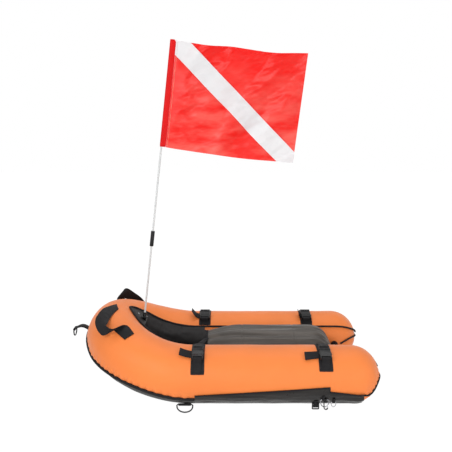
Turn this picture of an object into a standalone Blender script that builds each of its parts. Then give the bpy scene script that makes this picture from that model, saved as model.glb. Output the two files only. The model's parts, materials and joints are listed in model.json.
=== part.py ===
"""Inflatable board float for freediving: a U-shaped covered air tube with a flag mast.

Metres, +Z up, -X is the bow, -Y is port. The pieces are placed from the middle of the hull's
width, with z = 0 at its sole. An empty then moves them all, so that the origin is at the middle
of the whole model's box, at its lowest point, which is the ring below the bow.
"""

import math

import bmesh
import bpy
from mathutils import Matrix, Vector

# Fits
SEAT_GAP = 0.0003
CLOTH_LIFT = 0.0009

# Hull tube
TUBE_R = 0.084
TUBE_SPREAD = 0.157
STERN_X = 0.454
STERN_ROUND = 0.082
BEND_X = -0.098
BOW_X = -0.440
BOW_R = 0.0840
BOW_RISE = 0.0810
BOW_RISE_POWER = 1.92
BOW_ROUNDNESS = 2.43
SHOULDER_SWELL = 0.066
TUBE_SIDES = 24
BOW_STEPS = 12
STERN_STEPS = 6
STERN_TIP_ANGLE = 86.0
ROW_CROWD = 0.5
COVER_T = 0.0010
BLADDER_T = 0.0008

# Sewn panels and edges
PANEL_T = 0.0012
RIM_ANGLE = 140.0
RIM_ANGLE_NOSE = 122.0
RIM_NOSE_SPAN = 0.20
SEAM_ANGLE_LEG = -33.0
SEAM_ANGLE_SHOULDER = -25.0
SEAM_ANGLE_BOW = -4.0
SKIRT_LOW_ANGLE = -53.0
PANEL_INNER_ANGLE = -116.0
FLOOR_ANGLE = -120.0
PIPING_R = 0.0022
PIPING_LIFT = PIPING_R + 4 * SEAT_GAP
STERN_SEAM = [(0.3995, -0.033), (0.409, -0.036), (0.4186, -0.033), (0.427, -0.024), (0.4335, -0.014),
              (0.442, -0.002), (0.4493, 0.004)]
STERN_SEAM_INNER = [(0.4493, 0.008), (0.442, 0.011), (0.4317, 0.013), (0.4195, 0.012), (0.4055, 0.008),
                    (0.389, 0.001)]
SKIRT_FRONT_X = -0.090
SKIRT_STEP_X = 0.297
SKIRT_REAR_X = 0.396
SKIRT_FRONT_TOP = -22.0
SKIRT_STEP_TOP = -2.0
SKIRT_DROP = 10.0
SKIRT_REAR_TOP = -20.0
PANEL_STEP_GAP = 0.0020
PANEL_STEP_RUN = 0.0008
LINER_REAR_X = -0.072
LINER_BOTTOM_ANGLE = 237.0

# Deck cover between the tubes
DECK_FRONT_X = -0.063
DECK_FLAT_X = 0.050
DECK_FALL_X = 0.262
DECK_REAR_X = 0.349
DECK_FRONT_Z = 0.115
DECK_CROWN = 0.036
DECK_REAR_Z = 0.030
DECK_T = 0.0014
DECK_BINDING_R = 0.0032

# Air valve on the inboard side of the starboard tube
VALVE_X = 0.368
VALVE_HOLE_R = 0.0090
VALVE_BORE_R = 0.0055
VALVE_FLANGE_R = 0.0110
VALVE_FLANGE_T = 0.0016
VALVE_NECK_H = 0.0045
VALVE_DEPTH = 0.0090
VALVE_CAP_R = 0.0116
VALVE_CAP_WALL = 0.0016
VALVE_SIDES = 18

# Clip straps over the tubes
STRAP_X = {"port_front": -0.082, "port_rear": 0.286, "starboard_front": -0.073, "starboard_rear": 0.276}
CLIP_ANGLE = {"port": 67.5, "starboard": 106.0}
WEBBING_W = 0.025
WEBBING_T = 0.0016
PATCH_W = 0.040
PATCH_T = 0.0012
PATCH_LOW_ANGLE = {"port_front": 21.5, "port_rear": 27.5, "starboard_front": 21.5, "starboard_rear": 21.5}
STRAP_HEM = 3.0
CLIP_W = 0.033
CLIP_H = 0.0100
CLIP_WALL = 0.0018
CLIP_LIFT = 0.0026
FEMALE_L = 0.034
FEMALE_BAR = 0.0040
FEMALE_SLOT = 0.0034
PRONG_L = 0.024
PRONG_W = 0.0050
TONGUE_W = 0.0060
MALE_BASE = 0.0042
MALE_BAR = 0.0036
MALE_SLOT = 0.0042
MALE_LOW = 0.0016
MALE_H = 0.0052
TAIL_START = 0.0050
CLIP_LOBE = 0.0026
TAIL_L = {"port_front": 0.044, "port_rear": 0.042, "starboard_front": 0.036, "starboard_rear": 0.009}
TAIL_RISE = {"port_front": 0.006, "port_rear": 0.006, "starboard_front": 0.018, "starboard_rear": 0.020}
TAIL_TWIST = {"port_front": 0.0, "port_rear": 0.0, "starboard_front": 0.012, "starboard_rear": 0.004}
TAIL_TURN = {"port_front": 3.0, "port_rear": -6.0, "starboard_front": -3.0, "starboard_rear": 0.0}

# Bow hardware
TOW_TAB_W = 0.025
TOW_TAB_L = 0.047
TOW_TAB_T = 0.0032
TOW_TAB_ARCH = 0.0110
TOW_TAB_TILT = 0.0030
TOW_RING_W = 0.026
TOW_RING_DROP = 0.022
RING_WIRE = 0.0042
HANDLE_T = 0.0020
HANDLE_STAND = 0.0010
PORT_HANDLE = [
    ((2.985, 94.0, 0), (2.885, 99.0, 0)),
    ((2.940, 80.0, 2), (2.820, 87.0, 0)),
    ((2.800, 64.0, 28), (2.720, 67.0, 9)),
    ((2.720, 48.0, 35), (2.672, 60.0, 22)),
    ((2.622, 40.0, 22), (2.650, 55.0, 29)),
    ((2.610, 56.0, 12), (2.580, 57.0, 30)),
    ((2.615, 60.0, 0), (2.610, 86.0, 0)),
    ((2.500, 56.0, 0), (2.485, 77.0, 0)),
]
STARBOARD_HANDLE = [
    ((2.470, 56.0, 0), (2.400, 40.0, 0)),
    ((2.550, 69.0, 11), (2.480, 52.0, 1)),
    ((2.620, 70.0, 24), (2.585, 52.0, 6)),
    ((2.690, 70.0, 38), (2.720, 55.0, 13)),
    ((2.680, 58.0, 32), (2.700, 42.0, 9)),
    ((2.620, 44.0, 2), (2.640, 26.0, 0)),
    ((2.540, 38.0, 0), (2.560, 20.0, 0)),
]

# Rings below the hull
D_RING_X = -0.1165
D_RING_W = 0.0470
D_RING_DROP = 0.0250
RING_CORNER = 0.0035
RING_ANGLE = -62.0
REAR_ANGLE = {"slider": -46.0, "rear": -31.0, "end": -39.0}
KEEPER_W = 0.0365
KEEPER_WALL = 0.0018
KEEPER_TAIL = 0.016
REAR_RING_X = 0.2835
REAR_RING_W = 0.0245
REAR_RING_DROP = 0.0220
REAR_WIRE = 0.0028
REAR_KEEPER_W = 0.0075
SLIDER_X = 0.2600
SLIDER_W = 0.0215
SLIDER_H = 0.0200
SLIDER_BAR_D = REAR_WIRE * 1.42
END_RING_X = 0.3105
END_RING_W = 0.0140
END_RING_DROP = 0.0150
CLIP_PLATE_T = 0.0040
CLIP_NECK_W = 0.0050
CLIP_BODY_L = 0.0240
CLIP_BODY_W = 0.0130
CLIP_RIM = 0.0026
CLIP_SWING = 13.0

# Mast
MAST_X = -0.2618
MAST_Z = 0.2230
MAST_LEAN = 6.84
MAST_R = 0.0030
MAST_FIT = 0.00008
SOCKET_DEPTH = 0.030
SOCKET_FLOOR = 0.004
SOCKET_WALL = 0.0026
SOCKET_FLANGE_R = 0.0105
SOCKET_FLANGE_T = 0.0016
MAST_PANEL_REAR = 2.665
MAST_PANEL_NOSE = 2.985
EYELET_U = 2.90
EYELET_SPAN = 0.04
EYELET_R = 0.0036
EYELET_HOLE = 0.0018
EYELET_T = 0.0008
FERRULE_R = 0.0062
FERRULE_L = 0.049
FERRULE_MID = 0.244
MAST_TOP = 0.848
MAST_CAP_R = 0.0038
MAST_CAP_L = 0.008
MAST_SIDES = 16

# Flag
FLAG_L = 0.404
FLAG_H = 0.3165
FLAG_SAG = 0.005
FLAG_YAW = 7.0
FLAG_T = 0.0010
SLEEVE_W = 0.018
STRIPE_TOP = 0.054
STRIPE_END = 0.284
STRIPE_LOW = 0.0745
WAVE_HEIGHT = 0.018
WAVE_LENGTH = 0.230
WAVE_SLOPE = 0.55
FLAG_COLUMNS = 20
FLAG_ROWS = 8

COLOURS = {
    "orange_cloth": ((0.95, 0.24, 0.05), 0.62, 0.0),
    "grey_cloth": ((0.075, 0.070, 0.072), 0.55, 0.0),
    "black_cloth": ((0.014, 0.014, 0.018), 0.75, 0.0),
    "black_webbing": ((0.012, 0.013, 0.019), 0.8, 0.0),
    "bladder_film": ((0.62, 0.60, 0.55), 0.35, 0.0),
    "black_plastic": ((0.018, 0.018, 0.020), 0.38, 0.0),
    "dark_steel": ((0.05, 0.05, 0.055), 0.30, 0.9),
    "bright_steel": ((0.62, 0.63, 0.65), 0.20, 1.0),
    "white_rod": ((0.86, 0.87, 0.86), 0.30, 0.0),
    "red_cloth": ((0.82, 0.02, 0.02), 0.60, 0.0),
    "white_cloth": ((0.90, 0.88, 0.88), 0.62, 0.0),
}

HALF_STEP = math.radians(180.0 / TUBE_SIDES)
LEG_Z = TUBE_R * math.cos(HALF_STEP) + CLOTH_LIFT + PANEL_T
STERN_CENTRE_X = STERN_X - STERN_ROUND
BOW_CENTRE_X = BOW_X + BOW_R
BOW_REACH = BEND_X - BOW_CENTRE_X
HULL_END = 6.0


def clear_scene():
    for item in list(bpy.data.objects):
        bpy.data.objects.remove(item, do_unlink=True)


def make_collection(name):
    found = bpy.data.collections.get(name)
    if found is None:
        found = bpy.data.collections.new(name)
        bpy.context.scene.collection.children.link(found)
    return found


clear_scene()
PARTS = make_collection("board_float")
CUTTERS = make_collection("cutters")


def material(kind, node):
    colour, roughness, metallic = COLOURS[kind]
    made = bpy.data.materials.new(node + "_" + kind)
    made.use_nodes = True
    shader = made.node_tree.nodes["Principled BSDF"]
    shader.inputs["Base Color"].default_value = (*colour, 1.0)
    shader.inputs["Roughness"].default_value = roughness
    shader.inputs["Metallic"].default_value = metallic
    made.diffuse_color = (*colour, 1.0)
    return made


def add_object(name, mesh, kind, collection=None, smooth=True):
    item = bpy.data.objects.new(name, mesh)
    (collection or PARTS).objects.link(item)
    if kind:
        mesh.materials.clear()
        mesh.materials.append(material(kind, name))
    if smooth:
        mesh.shade_smooth()
        mesh.set_sharp_from_angle(angle=math.radians(35.0))
    return item


def as_cutter(item):
    for owner in list(item.users_collection):
        owner.objects.unlink(item)
    CUTTERS.objects.link(item)
    item.hide_render = True
    item.display_type = "WIRE"
    return item


def cut(item, cutter, operation="DIFFERENCE"):
    as_cutter(cutter)
    step = item.modifiers.new(operation.lower() + "_" + cutter.name, "BOOLEAN")
    step.operation = operation
    step.object = cutter
    return step


def solidify(item, thickness, offset=1.0):
    step = item.modifiers.new("thickness", "SOLIDIFY")
    step.thickness = thickness
    step.offset = offset
    step.use_even_offset = True
    step.use_quality_normals = True
    return step


def bevel(item, width, segments=1, angle=35.0):
    step = item.modifiers.new("edges", "BEVEL")
    step.width = width
    step.segments = segments
    step.limit_method = "ANGLE"
    step.angle_limit = math.radians(angle)
    return step


def sheet_mesh(name, rows, wrap=False, caps=False):
    """A surface lofted through rows of points; wrap closes each row, caps fills both end rows."""
    built = bmesh.new()
    grid = [[built.verts.new(point) for point in row] for row in rows]
    count = len(grid[0])
    for first, second in zip(grid, grid[1:]):
        for k in range(count if wrap else count - 1):
            after = (k + 1) % count
            built.faces.new((first[k], second[k], second[after], first[after]))
    if caps:
        built.faces.new(list(reversed(grid[0])))
        built.faces.new(grid[-1])
    bmesh.ops.recalc_face_normals(built, faces=built.faces)
    mesh = bpy.data.meshes.new(name)
    built.to_mesh(mesh)
    built.free()
    return mesh


def face_towards(mesh, direction):
    """Turn an open sheet so that its faces look mostly along direction."""
    total = sum((face.normal.dot(direction) * face.area for face in mesh.polygons))
    if total < 0:
        mesh.flip_normals()


def rounded_box(name, size, kind, centre=(0, 0, 0), edge=0.0, collection=None):
    bpy.ops.mesh.primitive_cube_add(size=1.0)
    item = bpy.context.object
    item.name = name
    for owner in list(item.users_collection):
        owner.objects.unlink(item)
    (collection or PARTS).objects.link(item)
    item.data.transform(Matrix.Diagonal((*size, 1.0)))
    item.data.transform(Matrix.Translation(centre))
    if kind:
        item.data.materials.append(material(kind, name))
    if edge > 0:
        bevel(item, edge)
    return item


def turned(name, profile, kind, sides=24, axis_matrix=None, collection=None):
    """A closed profile of (radius, height), outer side top to bottom, turned about its own Z."""
    mesh = bpy.data.meshes.new(name)
    points = [(radius, 0.0, height) for radius, height in profile]
    edges = [(k, k + 1) for k in range(len(points) - 1) if max(profile[k][0], profile[k + 1][0]) > 0]
    if max(profile[0][0], profile[-1][0]) > 0:
        edges.append((len(points) - 1, 0))
    mesh.from_pydata(points, edges, [])
    item = add_object(name, mesh, kind, collection, smooth=False)
    step = item.modifiers.new("turn", "SCREW")
    step.steps = sides
    step.render_steps = sides
    step.use_merge_vertices = True
    step.merge_threshold = 0.00001
    step.use_smooth_shade = True
    if axis_matrix is not None:
        item.matrix_world = axis_matrix
    return item


def wire(name, points, radius, kind, cyclic=False, resolution=2, smooth_curve=False):
    """A bent wire or piping as a bevelled curve."""
    curve = bpy.data.curves.new(name, "CURVE")
    curve.dimensions = "3D"
    curve.bevel_depth = radius
    curve.bevel_resolution = resolution
    curve.use_fill_caps = True
    line = curve.splines.new("POLY")
    line.points.add(len(points) - 1)
    for target, point in zip(line.points, points):
        target.co = (*point, 1.0)
    line.use_cyclic_u = cyclic
    line.use_smooth = smooth_curve
    item = bpy.data.objects.new(name, curve)
    PARTS.objects.link(item)
    curve.materials.append(material(kind, name))
    return item


def outline_plate(name, outlines, thickness, kind, matrix):
    """A flat plate from closed 2D outlines, the later ones being holes."""
    curve = bpy.data.curves.new(name, "CURVE")
    curve.dimensions = "2D"
    curve.fill_mode = "BOTH"
    curve.extrude = thickness / 2
    for outline in outlines:
        line = curve.splines.new("POLY")
        line.points.add(len(outline) - 1)
        for target, point in zip(line.points, outline):
            target.co = (point[0], point[1], 0.0, 1.0)
        line.use_cyclic_u = True
    item = bpy.data.objects.new(name, curve)
    PARTS.objects.link(item)
    if kind:
        curve.materials.append(material(kind, name))
    item.matrix_world = matrix
    return item


def mesh_from_curve(item):
    """Replace a curve object by its own mesh, welded, so that it can be cut."""
    bpy.context.view_layer.update()
    graph = bpy.context.evaluated_depsgraph_get()
    mesh = bpy.data.meshes.new_from_object(item.evaluated_get(graph))
    built = bmesh.new()
    built.from_mesh(mesh)
    bmesh.ops.remove_doubles(built, verts=built.verts, dist=0.00001)
    bmesh.ops.recalc_face_normals(built, faces=built.faces)
    built.to_mesh(mesh)
    built.free()
    name = item.name
    place = item.matrix_world.copy()
    bpy.data.objects.remove(item, do_unlink=True)
    made = bpy.data.objects.new(name, mesh)
    PARTS.objects.link(made)
    made.matrix_world = place
    mesh.shade_smooth()
    mesh.set_sharp_from_angle(angle=math.radians(35.0))
    return made


# The hull's centre line: 0 to 1 port stern, 1 to 2 port leg, 2 to 3 port bow, then mirrored to 6


def centre_line(u):
    """Centre, radius and sideways swell of the tube at u, on the port half."""
    if u <= 1.0:
        turn = math.radians(STERN_TIP_ANGLE) * (1.0 - u)
        x = STERN_CENTRE_X + STERN_ROUND * math.sin(turn)
        return Vector((x, -TUBE_SPREAD, LEG_Z)), TUBE_R * math.cos(turn), 0.0
    if u <= 2.0:
        x = STERN_CENTRE_X + (BEND_X - STERN_CENTRE_X) * (u - 1.0)
        return Vector((x, -TUBE_SPREAD, LEG_Z)), TUBE_R, 0.0
    turn = math.radians(90.0) * (min(u, 3.0) - 2.0)
    power = 2.0 / BOW_ROUNDNESS
    x = BEND_X - BOW_REACH * math.sin(turn) ** power
    y = -TUBE_SPREAD * max(math.cos(turn), 0.0) ** power
    rise = BOW_RISE * ((BEND_X - x) / BOW_REACH) ** BOW_RISE_POWER
    radius = TUBE_R + (BOW_R - TUBE_R) * (1.0 - math.cos(turn)) ** 2
    swell = SHOULDER_SWELL * math.sin(2.0 * turn) ** 2
    return Vector((x, y, LEG_Z + rise)), radius, swell


def tube_frame(u):
    """Centre, radius, swell, outward direction, upward direction and end lean at u."""
    if u > 3.0:
        centre, radius, swell, out, up, ahead = tube_frame(HULL_END - u)
        flip = Vector((1, -1, 1))
        return centre * flip, radius, swell, out * flip, up * flip, ahead * flip
    centre, radius, swell = centre_line(u)
    if u <= 2.0:
        lean = math.radians(STERN_TIP_ANGLE) * max(1.0 - u, 0.0)
        return centre, radius, swell, Vector((0, -1, 0)), Vector((0, 0, 1)), Vector((math.sin(lean), 0, 0))
    if u >= 3.0:
        return centre, radius, swell, Vector((-1, 0, 0)), Vector((0, 0, 1)), Vector((0, 0, 0))
    step = 0.01
    before = centre_line(max(u - step, 2.0))[0]
    after = centre_line(min(u + step, 3.0))[0]
    along = (after - before).normalized()
    out = along.cross(Vector((0, 0, 1))).normalized()
    out = -out if out.y > 0 else out
    up = Vector((0, 0, 1)) - along * along.z
    return centre, radius, swell, out, up.normalized(), Vector((0, 0, 0))


def facet_scale(angle):
    """How far the flat-sided tube lies inside its circle at an angle in degrees."""
    step = 360.0 / TUBE_SIDES
    off = (angle + step / 2) % step - step / 2
    return math.cos(HALF_STEP) / math.cos(math.radians(off))


def skin(u, angle, lift=0.0):
    """A point on the hull's outer surface, 0 degrees outboard and 90 on top."""
    centre, radius, swell, out, up, ahead = tube_frame(u)
    turn = math.radians(angle)
    reach = radius * facet_scale(angle)
    flat = math.sqrt(max(1.0 - ahead.length_squared, 0.0))
    rim = out * (math.cos(turn) * (1.0 + swell)) + up * math.sin(turn)
    normal = out * math.cos(turn) + up * math.sin(turn)
    return centre + rim * reach + (normal * flat + ahead) * lift


def leg_u(x):
    """The place u on the port side of a length x."""
    if x > STERN_CENTRE_X:
        turn = math.degrees(math.asin(min((x - STERN_CENTRE_X) / STERN_ROUND, 1.0)))
        return 1.0 - turn / STERN_TIP_ANGLE
    if x < BEND_X:
        reach = min((BEND_X - x) / BOW_REACH, 1.0)
        return 2.0 + math.degrees(math.asin(reach ** (BOW_ROUNDNESS / 2))) / 90.0
    return 1.0 + (STERN_CENTRE_X - x) / (STERN_CENTRE_X - BEND_X)


def stations(first, last):
    """Every ring of the hull between two places u, with both ends."""
    marks = [k / STERN_STEPS for k in range(STERN_STEPS + 1)]
    marks += [2.0 + k / BOW_STEPS for k in range(BOW_STEPS + 1)]
    marks += [HULL_END - mark for mark in marks if mark < 3.0]
    inside = [mark for mark in sorted(marks) if first + 0.001 < mark < last - 0.001]
    return [first] + inside + [last]


def grid_angles():
    """The tube's own edges, in degrees from -180 to 360."""
    step = 360.0 / TUBE_SIDES
    return [(k + 0.5) * step for k in range(-TUBE_SIDES // 2, TUBE_SIDES)]


def across_edges(start, end, widest):
    """Angles from start to end by the tube's edges; those from widest to start crowd beside it."""
    sign = 1.0 if end > start else -1.0
    edges = sorted((sign * a for a in grid_angles() if sign * widest < sign * a < sign * end))
    row = [start]
    for k, edge in enumerate(edges):
        row.append(sign * max(edge, sign * start + ROW_CROWD * (k + 1)))
    return row + [end]


def seam_angle(u):
    """The outer seam's angle: low on the legs, rising to the tow tab at the bow."""
    near = max(min(u, HULL_END - u) - 2.0, 0.0)
    shoulder = smooth_step(near / 0.38)
    nose = smooth_step((near - 0.7) / 0.3)
    return (SEAM_ANGLE_LEG + (SEAM_ANGLE_SHOULDER - SEAM_ANGLE_LEG) * shoulder
            + (SEAM_ANGLE_BOW - SEAM_ANGLE_SHOULDER) * nose)


def smooth_step(share):
    share = min(max(share, 0.0), 1.0)
    return share * share * (3.0 - 2.0 * share)


def rim_angle(u):
    """The angle of the well's edge: level on the legs, running to a point at the nose."""
    away = min(abs(3.0 - u) / RIM_NOSE_SPAN, 1.0)
    return RIM_ANGLE_NOSE + (RIM_ANGLE - RIM_ANGLE_NOSE) * (1.0 - (1.0 - away) ** 1.6)


def tube_shell(name, inset, thickness, kind, every=1):
    """The whole tube as a thin shell, inset from the hull's surface, on every edge or every second one."""
    rows = []
    step = 360.0 / TUBE_SIDES
    for u in stations(0.0, HULL_END):
        rows.append([skin(u, (k + 0.5) * step, -inset) for k in range(0, TUBE_SIDES, every)])
    mesh = sheet_mesh(name, rows, wrap=True, caps=True)
    item = add_object(name, mesh, kind)
    solidify(item, thickness, -1.0)
    hole = valve_cutter(name + "_valve_hole")
    cut(item, hole)
    return item


def valve_axis():
    """The valve's matrix: its own +Z points inboard, out of the tube, its zero on the cover."""
    face_y = TUBE_SPREAD - TUBE_R * math.cos(HALF_STEP)
    turn = Matrix.Rotation(math.radians(90.0), 4, "X")
    return Matrix.Translation((VALVE_X, face_y, LEG_Z)) @ turn


def valve_cutter(name):
    item = turned(name, [(0.0, 0.02), (VALVE_HOLE_R, 0.02), (VALVE_HOLE_R, -0.012), (0.0, -0.012)], None,
                  VALVE_SIDES)
    item.matrix_world = valve_axis()
    return item


def build_valve():
    neck_r = VALVE_HOLE_R - SEAT_GAP
    low = SEAT_GAP
    flange_top = low + VALVE_FLANGE_T
    boss_r = VALVE_CAP_R - VALVE_CAP_WALL - SEAT_GAP
    profile = [
        (VALVE_BORE_R, flange_top + VALVE_NECK_H),
        (boss_r - 0.0012, flange_top + VALVE_NECK_H),
        (boss_r - 0.0012, flange_top),
        (VALVE_FLANGE_R, flange_top),
        (VALVE_FLANGE_R, low),
        (neck_r, low),
        (neck_r, -VALVE_DEPTH),
        (VALVE_BORE_R, -VALVE_DEPTH),
    ]
    body = turned("valve_body", profile, "black_plastic", VALVE_SIDES)
    body.matrix_world = valve_axis()
    bottom = flange_top + SEAT_GAP
    roof = flange_top + VALVE_NECK_H + SEAT_GAP
    cap_profile = [
        (0.0, roof + VALVE_CAP_WALL),
        (VALVE_CAP_R - 0.0008, roof + VALVE_CAP_WALL),
        (VALVE_CAP_R, roof + VALVE_CAP_WALL - 0.0008),
        (VALVE_CAP_R, bottom),
        (VALVE_CAP_R - VALVE_CAP_WALL, bottom),
        (VALVE_CAP_R - VALVE_CAP_WALL, roof),
        (0.0, roof),
    ]
    cap = turned("valve_cap", cap_profile, "black_plastic", VALVE_SIDES)
    cap.matrix_world = valve_axis()


def hull_strip(name, marks, angle_rows, lift, thickness, kind):
    """A cloth strip on the hull; angle_rows gives each mark its list of angles."""
    rows = [[skin(u, angle, lift) for angle in angle_rows(u)] for u in marks]
    mesh = sheet_mesh(name, rows)
    middle = len(rows) // 2
    u = marks[middle]
    angles = angle_rows(u)
    angle = angles[len(angles) // 2]
    wanted = skin(u, angle, 0.01) - skin(u, angle, 0.0)
    face_towards_near(mesh, skin(u, angle, lift), wanted)
    item = add_object(name, mesh, kind)
    solidify(item, thickness, 1.0)
    return item


def face_towards_near(mesh, place, direction):
    """Turn an open sheet so that the face nearest to place looks along direction."""
    nearest = min(mesh.polygons, key=lambda face: (face.center - place).length)
    if nearest.normal.dot(direction) < 0:
        mesh.flip_normals()


def build_bottom_panel():
    front = leg_u(STERN_CENTRE_X - 0.001)
    step = leg_u(SKIRT_FRONT_X - PANEL_STEP_GAP)

    def angles(u):
        near = min(u, HULL_END - u)
        edge = seam_angle(u) - 3.0 if near > step - 0.0001 else SKIRT_LOW_ANGLE - 0.6
        return across_edges(edge, PANEL_INNER_ANGLE, SEAM_ANGLE_BOW)

    marks = stations(front, HULL_END - front)
    for mark in (step - PANEL_STEP_RUN, step):
        marks += [mark, HULL_END - mark]
    hull_strip("bottom_panel", sorted(marks), angles, CLOTH_LIFT, PANEL_T, "grey_cloth")


def build_floor_panel():
    front = leg_u(DECK_REAR_X + 0.020)
    marks = [u for u in stations(front, 3.0) if u < 2.86]
    lift = SEAT_GAP + 0.0006
    rows = []
    for u in marks:
        edge = skin(u, FLOOR_ANGLE, lift)
        rows.append([edge, Vector((edge.x, 0.0, edge.z)), edge * Vector((1, -1, 1))])
    mesh = sheet_mesh("floor_panel", rows)
    face_towards(mesh, Vector((0, 0, 1)))
    item = add_object("floor_panel", mesh, "grey_cloth")
    solidify(item, PANEL_T, 0.0)


def skirt_top(x):
    if x <= SKIRT_STEP_X:
        share = (x - SKIRT_FRONT_X) / (SKIRT_STEP_X - SKIRT_FRONT_X)
        return SKIRT_FRONT_TOP + (SKIRT_STEP_TOP - SKIRT_FRONT_TOP) * share
    share = (x - SKIRT_STEP_X) / (SKIRT_REAR_X - SKIRT_STEP_X)
    start = SKIRT_STEP_TOP - SKIRT_DROP
    return start + (SKIRT_REAR_TOP - start) * share


def build_skirt(side):
    name = side + "_skirt"
    facet_edge = -180.0 / TUBE_SIDES
    crossing = SKIRT_FRONT_X + (SKIRT_STEP_X - SKIRT_FRONT_X) * (facet_edge - SKIRT_FRONT_TOP) / (
        SKIRT_STEP_TOP - SKIRT_FRONT_TOP)
    places = [SKIRT_FRONT_X, crossing, SKIRT_STEP_X - 0.0006, SKIRT_STEP_X + 0.0006, STERN_CENTRE_X,
              SKIRT_REAR_X]

    def angles(u):
        x = centre_line(u if side == "port" else HULL_END - u)[0].x
        return across_edges(skirt_top(x), SKIRT_LOW_ANGLE, SKIRT_STEP_TOP)

    marks = [leg_u(x) for x in places]
    if side == "starboard":
        marks = [HULL_END - mark for mark in marks]
    hull_strip(name, marks, angles, CLOTH_LIFT, PANEL_T, "grey_cloth")


def build_well_liner():
    front = leg_u(LINER_REAR_X)

    def angles(u):
        return across_edges(rim_angle(u) + 2.2, LINER_BOTTOM_ANGLE, RIM_ANGLE_NOSE + 2.2)

    marks = stations(front, HULL_END - front)
    hull_strip("well_liner", marks, angles, CLOTH_LIFT, PANEL_T, "black_cloth")


def build_rim_piping():
    """One edge binding round the well and out to both stern tips."""
    points = []
    for u in stations(0.15, HULL_END - 0.15):
        close = max(0.6 - min(u, HULL_END - u), 0.0) / 0.6
        points.append(skin(u, rim_angle(u) - 22.0 * close ** 2, PIPING_LIFT))
    wire("rim_piping", points, PIPING_R, "black_cloth", resolution=1)


def build_bow_piping():
    points = []
    front = leg_u(SKIRT_FRONT_X - 4 * SEAT_GAP)
    for u in stations(front, HULL_END - front):
        points.append(skin(u, seam_angle(u) + 1.0, PIPING_LIFT))
    wire("bow_piping", points, PIPING_R, "black_cloth", resolution=1)


def build_stern_piping(side):
    """The seam round a stern tip, level from the skirt's end outboard to the valve inboard."""
    points = [seam_point(x, rise, False, PIPING_LIFT) for x, rise in STERN_SEAM]
    points.append(skin(0.0, 90.0, PIPING_LIFT))
    points += [seam_point(x, rise, True, PIPING_LIFT) for x, rise in STERN_SEAM_INNER]
    if side == "starboard":
        points = [point * Vector((1, -1, 1)) for point in points]
    wire(side + "_stern_piping", points, PIPING_R, "black_cloth", resolution=1)


def seam_point(x, rise, inboard, lift):
    """A point on the stern at a length x and a rise above the tube's axis."""
    u = leg_u(x)
    radius = centre_line(u)[1]
    angle = math.degrees(math.asin(rise / radius))
    return skin(u, 180.0 - angle if inboard else angle, lift)


def inner_half_width(z, gap):
    """Half the free width between the tubes at a height."""
    inside = max(TUBE_R ** 2 - (z - LEG_Z) ** 2, 0.0)
    return TUBE_SPREAD - math.sqrt(inside) - gap


def deck_edge_z(x):
    rim_z = LEG_Z + TUBE_R * math.sin(math.radians(RIM_ANGLE + 4.0))
    if x >= DECK_FLAT_X:
        return rim_z
    share = (x - DECK_FRONT_X) / (DECK_FLAT_X - DECK_FRONT_X)
    return DECK_FRONT_Z + (rim_z - DECK_FRONT_Z) * math.sin(math.radians(90.0) * share)


def deck_rows():
    rows = []
    gap = DECK_T + 6 * SEAT_GAP
    across = 10
    for x in [DECK_FRONT_X, -0.030, 0.010, DECK_FLAT_X, 0.120, 0.190, DECK_FALL_X]:
        edge_z = deck_edge_z(x)
        rows.append(deck_row(x, edge_z, DECK_CROWN, inner_half_width(edge_z, gap), across))
    falls = 5
    top = deck_edge_z(DECK_FALL_X)
    for k in range(1, falls + 1):
        turn = math.radians(90.0) * k / falls
        x = DECK_FALL_X + (DECK_REAR_X - DECK_FALL_X) * math.sin(turn)
        edge_z = top - (top - DECK_REAR_Z) * (1.0 - math.cos(turn)) ** 1.5
        crown = DECK_CROWN * math.cos(turn) ** 0.7 if k < falls else 0.004
        rows.append(deck_row(x, edge_z, crown, inner_half_width(edge_z, gap + DECK_T * k / falls), across))
    return rows


def deck_row(x, edge_z, crown, half, across):
    row = []
    for k in range(across + 1):
        place = -1.0 + 2.0 * k / across
        row.append(Vector((x, half * place, edge_z + crown * (1.0 - abs(place) ** 2.4))))
    return row


def build_deck_cover():
    rows = deck_rows()
    mesh = sheet_mesh("deck_cover", rows)
    face_towards(mesh, Vector((0, 0, 1)))
    item = add_object("deck_cover", mesh, "grey_cloth")
    solidify(item, DECK_T, -1.0)
    lift = DECK_BINDING_R + SEAT_GAP
    points = [point + Vector((-lift, 0.0, -DECK_T / 2)) for point in rows[0]]
    points[0].y += DECK_BINDING_R
    points[-1].y -= DECK_BINDING_R
    wire("deck_binding", points, DECK_BINDING_R, "black_webbing", resolution=1)


# Straps with side-release clips


def side_of(name):
    return "starboard" if name.startswith("starboard") else "port"


def strap_point(name, angle, lift=0.0, across=0.0):
    """A point on a tube under a strap; across runs along the tube, towards the bow."""
    point = skin(leg_u(STRAP_X[name] - across), angle, lift)
    if side_of(name) == "starboard":
        return point * Vector((1, -1, 1))
    return point


def pull_sign(name):
    """1 where the male half pulls out towards larger angles."""
    return 1.0 if side_of(name) == "port" else -1.0


def strap_lift():
    return CLOTH_LIFT + PATCH_T + SEAT_GAP


def clip_matrix(name):
    """The clip's frame: own +X the way the male pulls out, +Y to the bow, +Z off the tube."""
    angle = CLIP_ANGLE[side_of(name)]
    step = 2.0 * pull_sign(name)
    base = strap_point(name, angle)
    normal = (strap_point(name, angle, 0.01) - base).normalized()
    pull = strap_point(name, angle + step) - strap_point(name, angle - step)
    pull = (pull - normal * pull.dot(normal)).normalized()
    side = normal.cross(pull)
    spot = base + normal * (CLOTH_LIFT + PATCH_T + CLIP_LIFT)
    turn = Matrix((pull, side, normal)).transposed().to_4x4()
    return Matrix.Translation(spot) @ turn


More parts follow.
